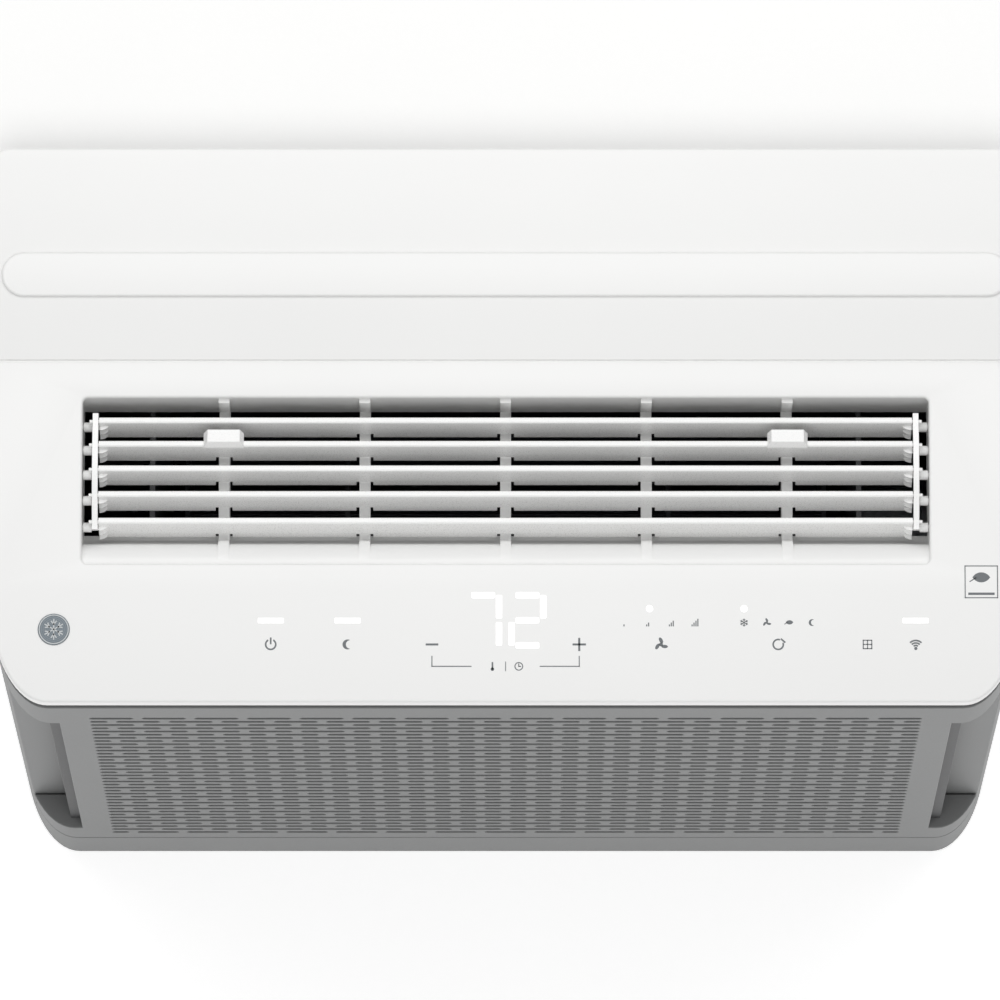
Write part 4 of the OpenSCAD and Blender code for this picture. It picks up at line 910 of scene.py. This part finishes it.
def intake_grille():
    brick = SLOT_W + SLOT_WEB
    half = SLOT_COLUMNS * brick / 2
    pairs = SLOT_ROWS // 2
    down = (0, 0, -2 * SLOT_PITCH)
    grey = MATERIALS["grey_abs"]
    full = grille_cell("full_brick", -half, brick, True)
    parts = [repeated(full, SLOT_COLUMNS, (brick, 0, 0), pairs, down, grey)]
    shifted = full.copy()
    shifted.transform(shift_by(brick / 2, 0, SLOT_PITCH))
    parts.append(repeated(shifted, SLOT_COLUMNS - 1, (brick, 0, 0), pairs, down, grey))
    end = grille_cell("half_brick", -half, brick / 2, False)
    end.transform(shift_by(0, 0, SLOT_PITCH))
    parts.append(repeated(end, 2, (2 * half - brick / 2, 0, 0), pairs, down, grey))
    top = FIRST_ROW - SLOT_PITCH / 2
    parts.append(grille_border(half, top, top + SLOT_ROWS * SLOT_PITCH))
    settle("intake_grille_moulding", joined("intake_grille", parts), "grey_abs",
           stands_for=("intake_grille",))


def shift_by(x, b, h):
    return Matrix.Translation(Vector((x * MM, b * MM, -h * MM)))


intake_grille()
broken_edges("front_frame", 0.7, keep=on_grille, segments=3)
broken_edges("indoor_housing", 0.8, segments=3)
broken_edges("base_tray", 0.9, segments=3)
broken_edges("top_frame", 0.3)
broken_edges("filter_frame", 0.5)

# ---------- bridge ----------

deck = broken_edges("bridge_deck", 0.9, segments=3)
deck.data.materials[0] = DECK_PAINT
broken_edges("bridge_channel", 0.4)
broken_edges("sill_gasket", 1.0)
broken_edges("cord_gland", 0.5)

# ---------- outdoor section ----------

broken_edges("outdoor_cabinet", 0.5)
broken_edges("outdoor_base", 0.4)
broken_edges("rubber_feet", 1.2, segments=3)
broken_edges("rear_guard", 0.7)


FIN_PITCH, FIN_T = 2.0, 0.5           # real fins sit closer; this is as close as shows


def condenser_fins():
    x0, x1, b0, b1, h0, h1 = span("condenser_fins")
    fin = box_mesh("fin", x0, x0 + FIN_T, b0, b1, h0, h1)
    count = int((x1 - x0) / FIN_PITCH)
    mesh = repeated(fin, count, ((x1 - x0 - FIN_T) / (count - 1), 0, 0), 1, (0, 0, 0),
                    MATERIALS["fin_aluminium"])
    settle("condenser_fin_pack", mesh, "fin_aluminium", stands_for=("condenser_fins",))


condenser_fins()


HEAD_SIDES = 16
HEAD_SPREAD = 6                       # tips nearer than this belong to one screw
HEAD_PROFILE = ((0, 3.6), (0.9, 3.312), (1.5, 2.16), (1.7, 0.9))    # rise and radius


def screw_heads(node):
    """Domed heads over the ends of the screws."""
    bm = bmesh.new()
    bm.from_mesh(frame["nodes"][node].data)
    bmesh.ops.remove_doubles(bm, verts=bm.verts, dist=1e-6)
    for side in (-1, 1):
        tips = [v.co.copy() for v in bm.verts if v.co.x * side > (HALF - 0.5) * MM]
        spots = []
        for tip in tips:
            if not any((tip - s).length < HEAD_SPREAD * MM for s in spots):
                group = [t for t in tips if (t - tip).length < HEAD_SPREAD * MM]
                spots.append(sum(group, Vector()) / len(group))
        for spot in spots:
            rings = []
            for rise, r in HEAD_PROFILE:
                rings.append([bm.verts.new(Vector((
                    side * (HALF + rise) * MM,
                    spot.y + r * MM * math.cos(a), spot.z + r * MM * math.sin(a))))
                    for a in [math.tau * k / HEAD_SIDES for k in range(HEAD_SIDES)]])
            for near, far in zip(rings, rings[1:]):
                for i in range(HEAD_SIDES):
                    j = (i + 1) % HEAD_SIDES
                    bm.faces.new((near[i], near[j], far[j], far[i]))
            bm.faces.new(rings[-1])
            bm.faces.new(rings[0])
    bmesh.ops.recalc_face_normals(bm, faces=bm.faces)
    settle(node + "_with_heads", to_mesh(bm, node), "screw_steel", stands_for=(node,))


screw_heads("cabinet_screws")
screw_heads("deck_screws")

# ---------- floor and light ----------

FLOOR_REACH, FLOOR_GLOW, WORLD_STRENGTH = 20, 0.52, 0.4
SOFTBOXES = (                         # name, place, target, size and watts
    ("rear_softbox", (0, 0.6, 1.9), (0, 0, 0.4), (2.4, 1.2), 18.5),
    ("high_softbox", (0, -1.3, 2.2), (0, -0.25, 0.4), (2.2, 1.2), 11.5),
    ("front_softbox", (0, -2.6, 1.2), (0, -0.3, 0.25), (2.6, 1.4), 2))


def stage():
    """Plain pale floor that stays near white, so that only a soft contact shadow shows."""
    mesh = bpy.data.meshes.new("floor")
    floor_z = CAD_BOX[0][2]
    corners = [(x * FLOOR_REACH, y * FLOOR_REACH, floor_z)
               for x, y in ((-1, -1), (1, -1), (1, 1), (-1, 1))]
    mesh.from_pydata(corners, [], [(0, 1, 2, 3)])
    material, tree, place = start("pale studio floor")
    tone = add(tree, "ShaderNodeTexNoise", {"Vector": place, "Scale": 2.0})
    colour = add(tree, "ShaderNodeMix", {0: tone, 6: rgb("#f6f6f6"), 7: rgb("#f9f9f9")},
                 data_type="RGBA")
    finish(material, tree, colour, 0.9, Emission_Color=(1, 1, 1, 1), Emission_Strength=FLOOR_GLOW)
    mesh.materials.append(material)
    floor = bpy.data.objects.new("floor", mesh)
    bpy.context.scene.collection.objects.link(floor)


def area_light(name, location, target, size, power):
    data = bpy.data.lights.new(name, "AREA")
    data.shape = "RECTANGLE"
    data.size, data.size_y = size
    data.energy = power
    light = bpy.data.objects.new(name, data)
    light.location = location
    light.rotation_euler = (Vector(target) - Vector(location)).to_track_quat("-Z", "Y").to_euler()
    bpy.context.scene.collection.objects.link(light)


def lighting():
    world = bpy.data.worlds.new("studio")
    world.use_nodes = True
    world.node_tree.nodes["Background"].inputs["Color"].default_value = (1, 1, 1, 1)
    world.node_tree.nodes["Background"].inputs["Strength"].default_value = WORLD_STRENGTH
    bpy.context.scene.world = world
    bpy.context.scene.view_settings.view_transform = "Standard"
    for softbox in SOFTBOXES:
        area_light(*softbox)


stage()
lighting()
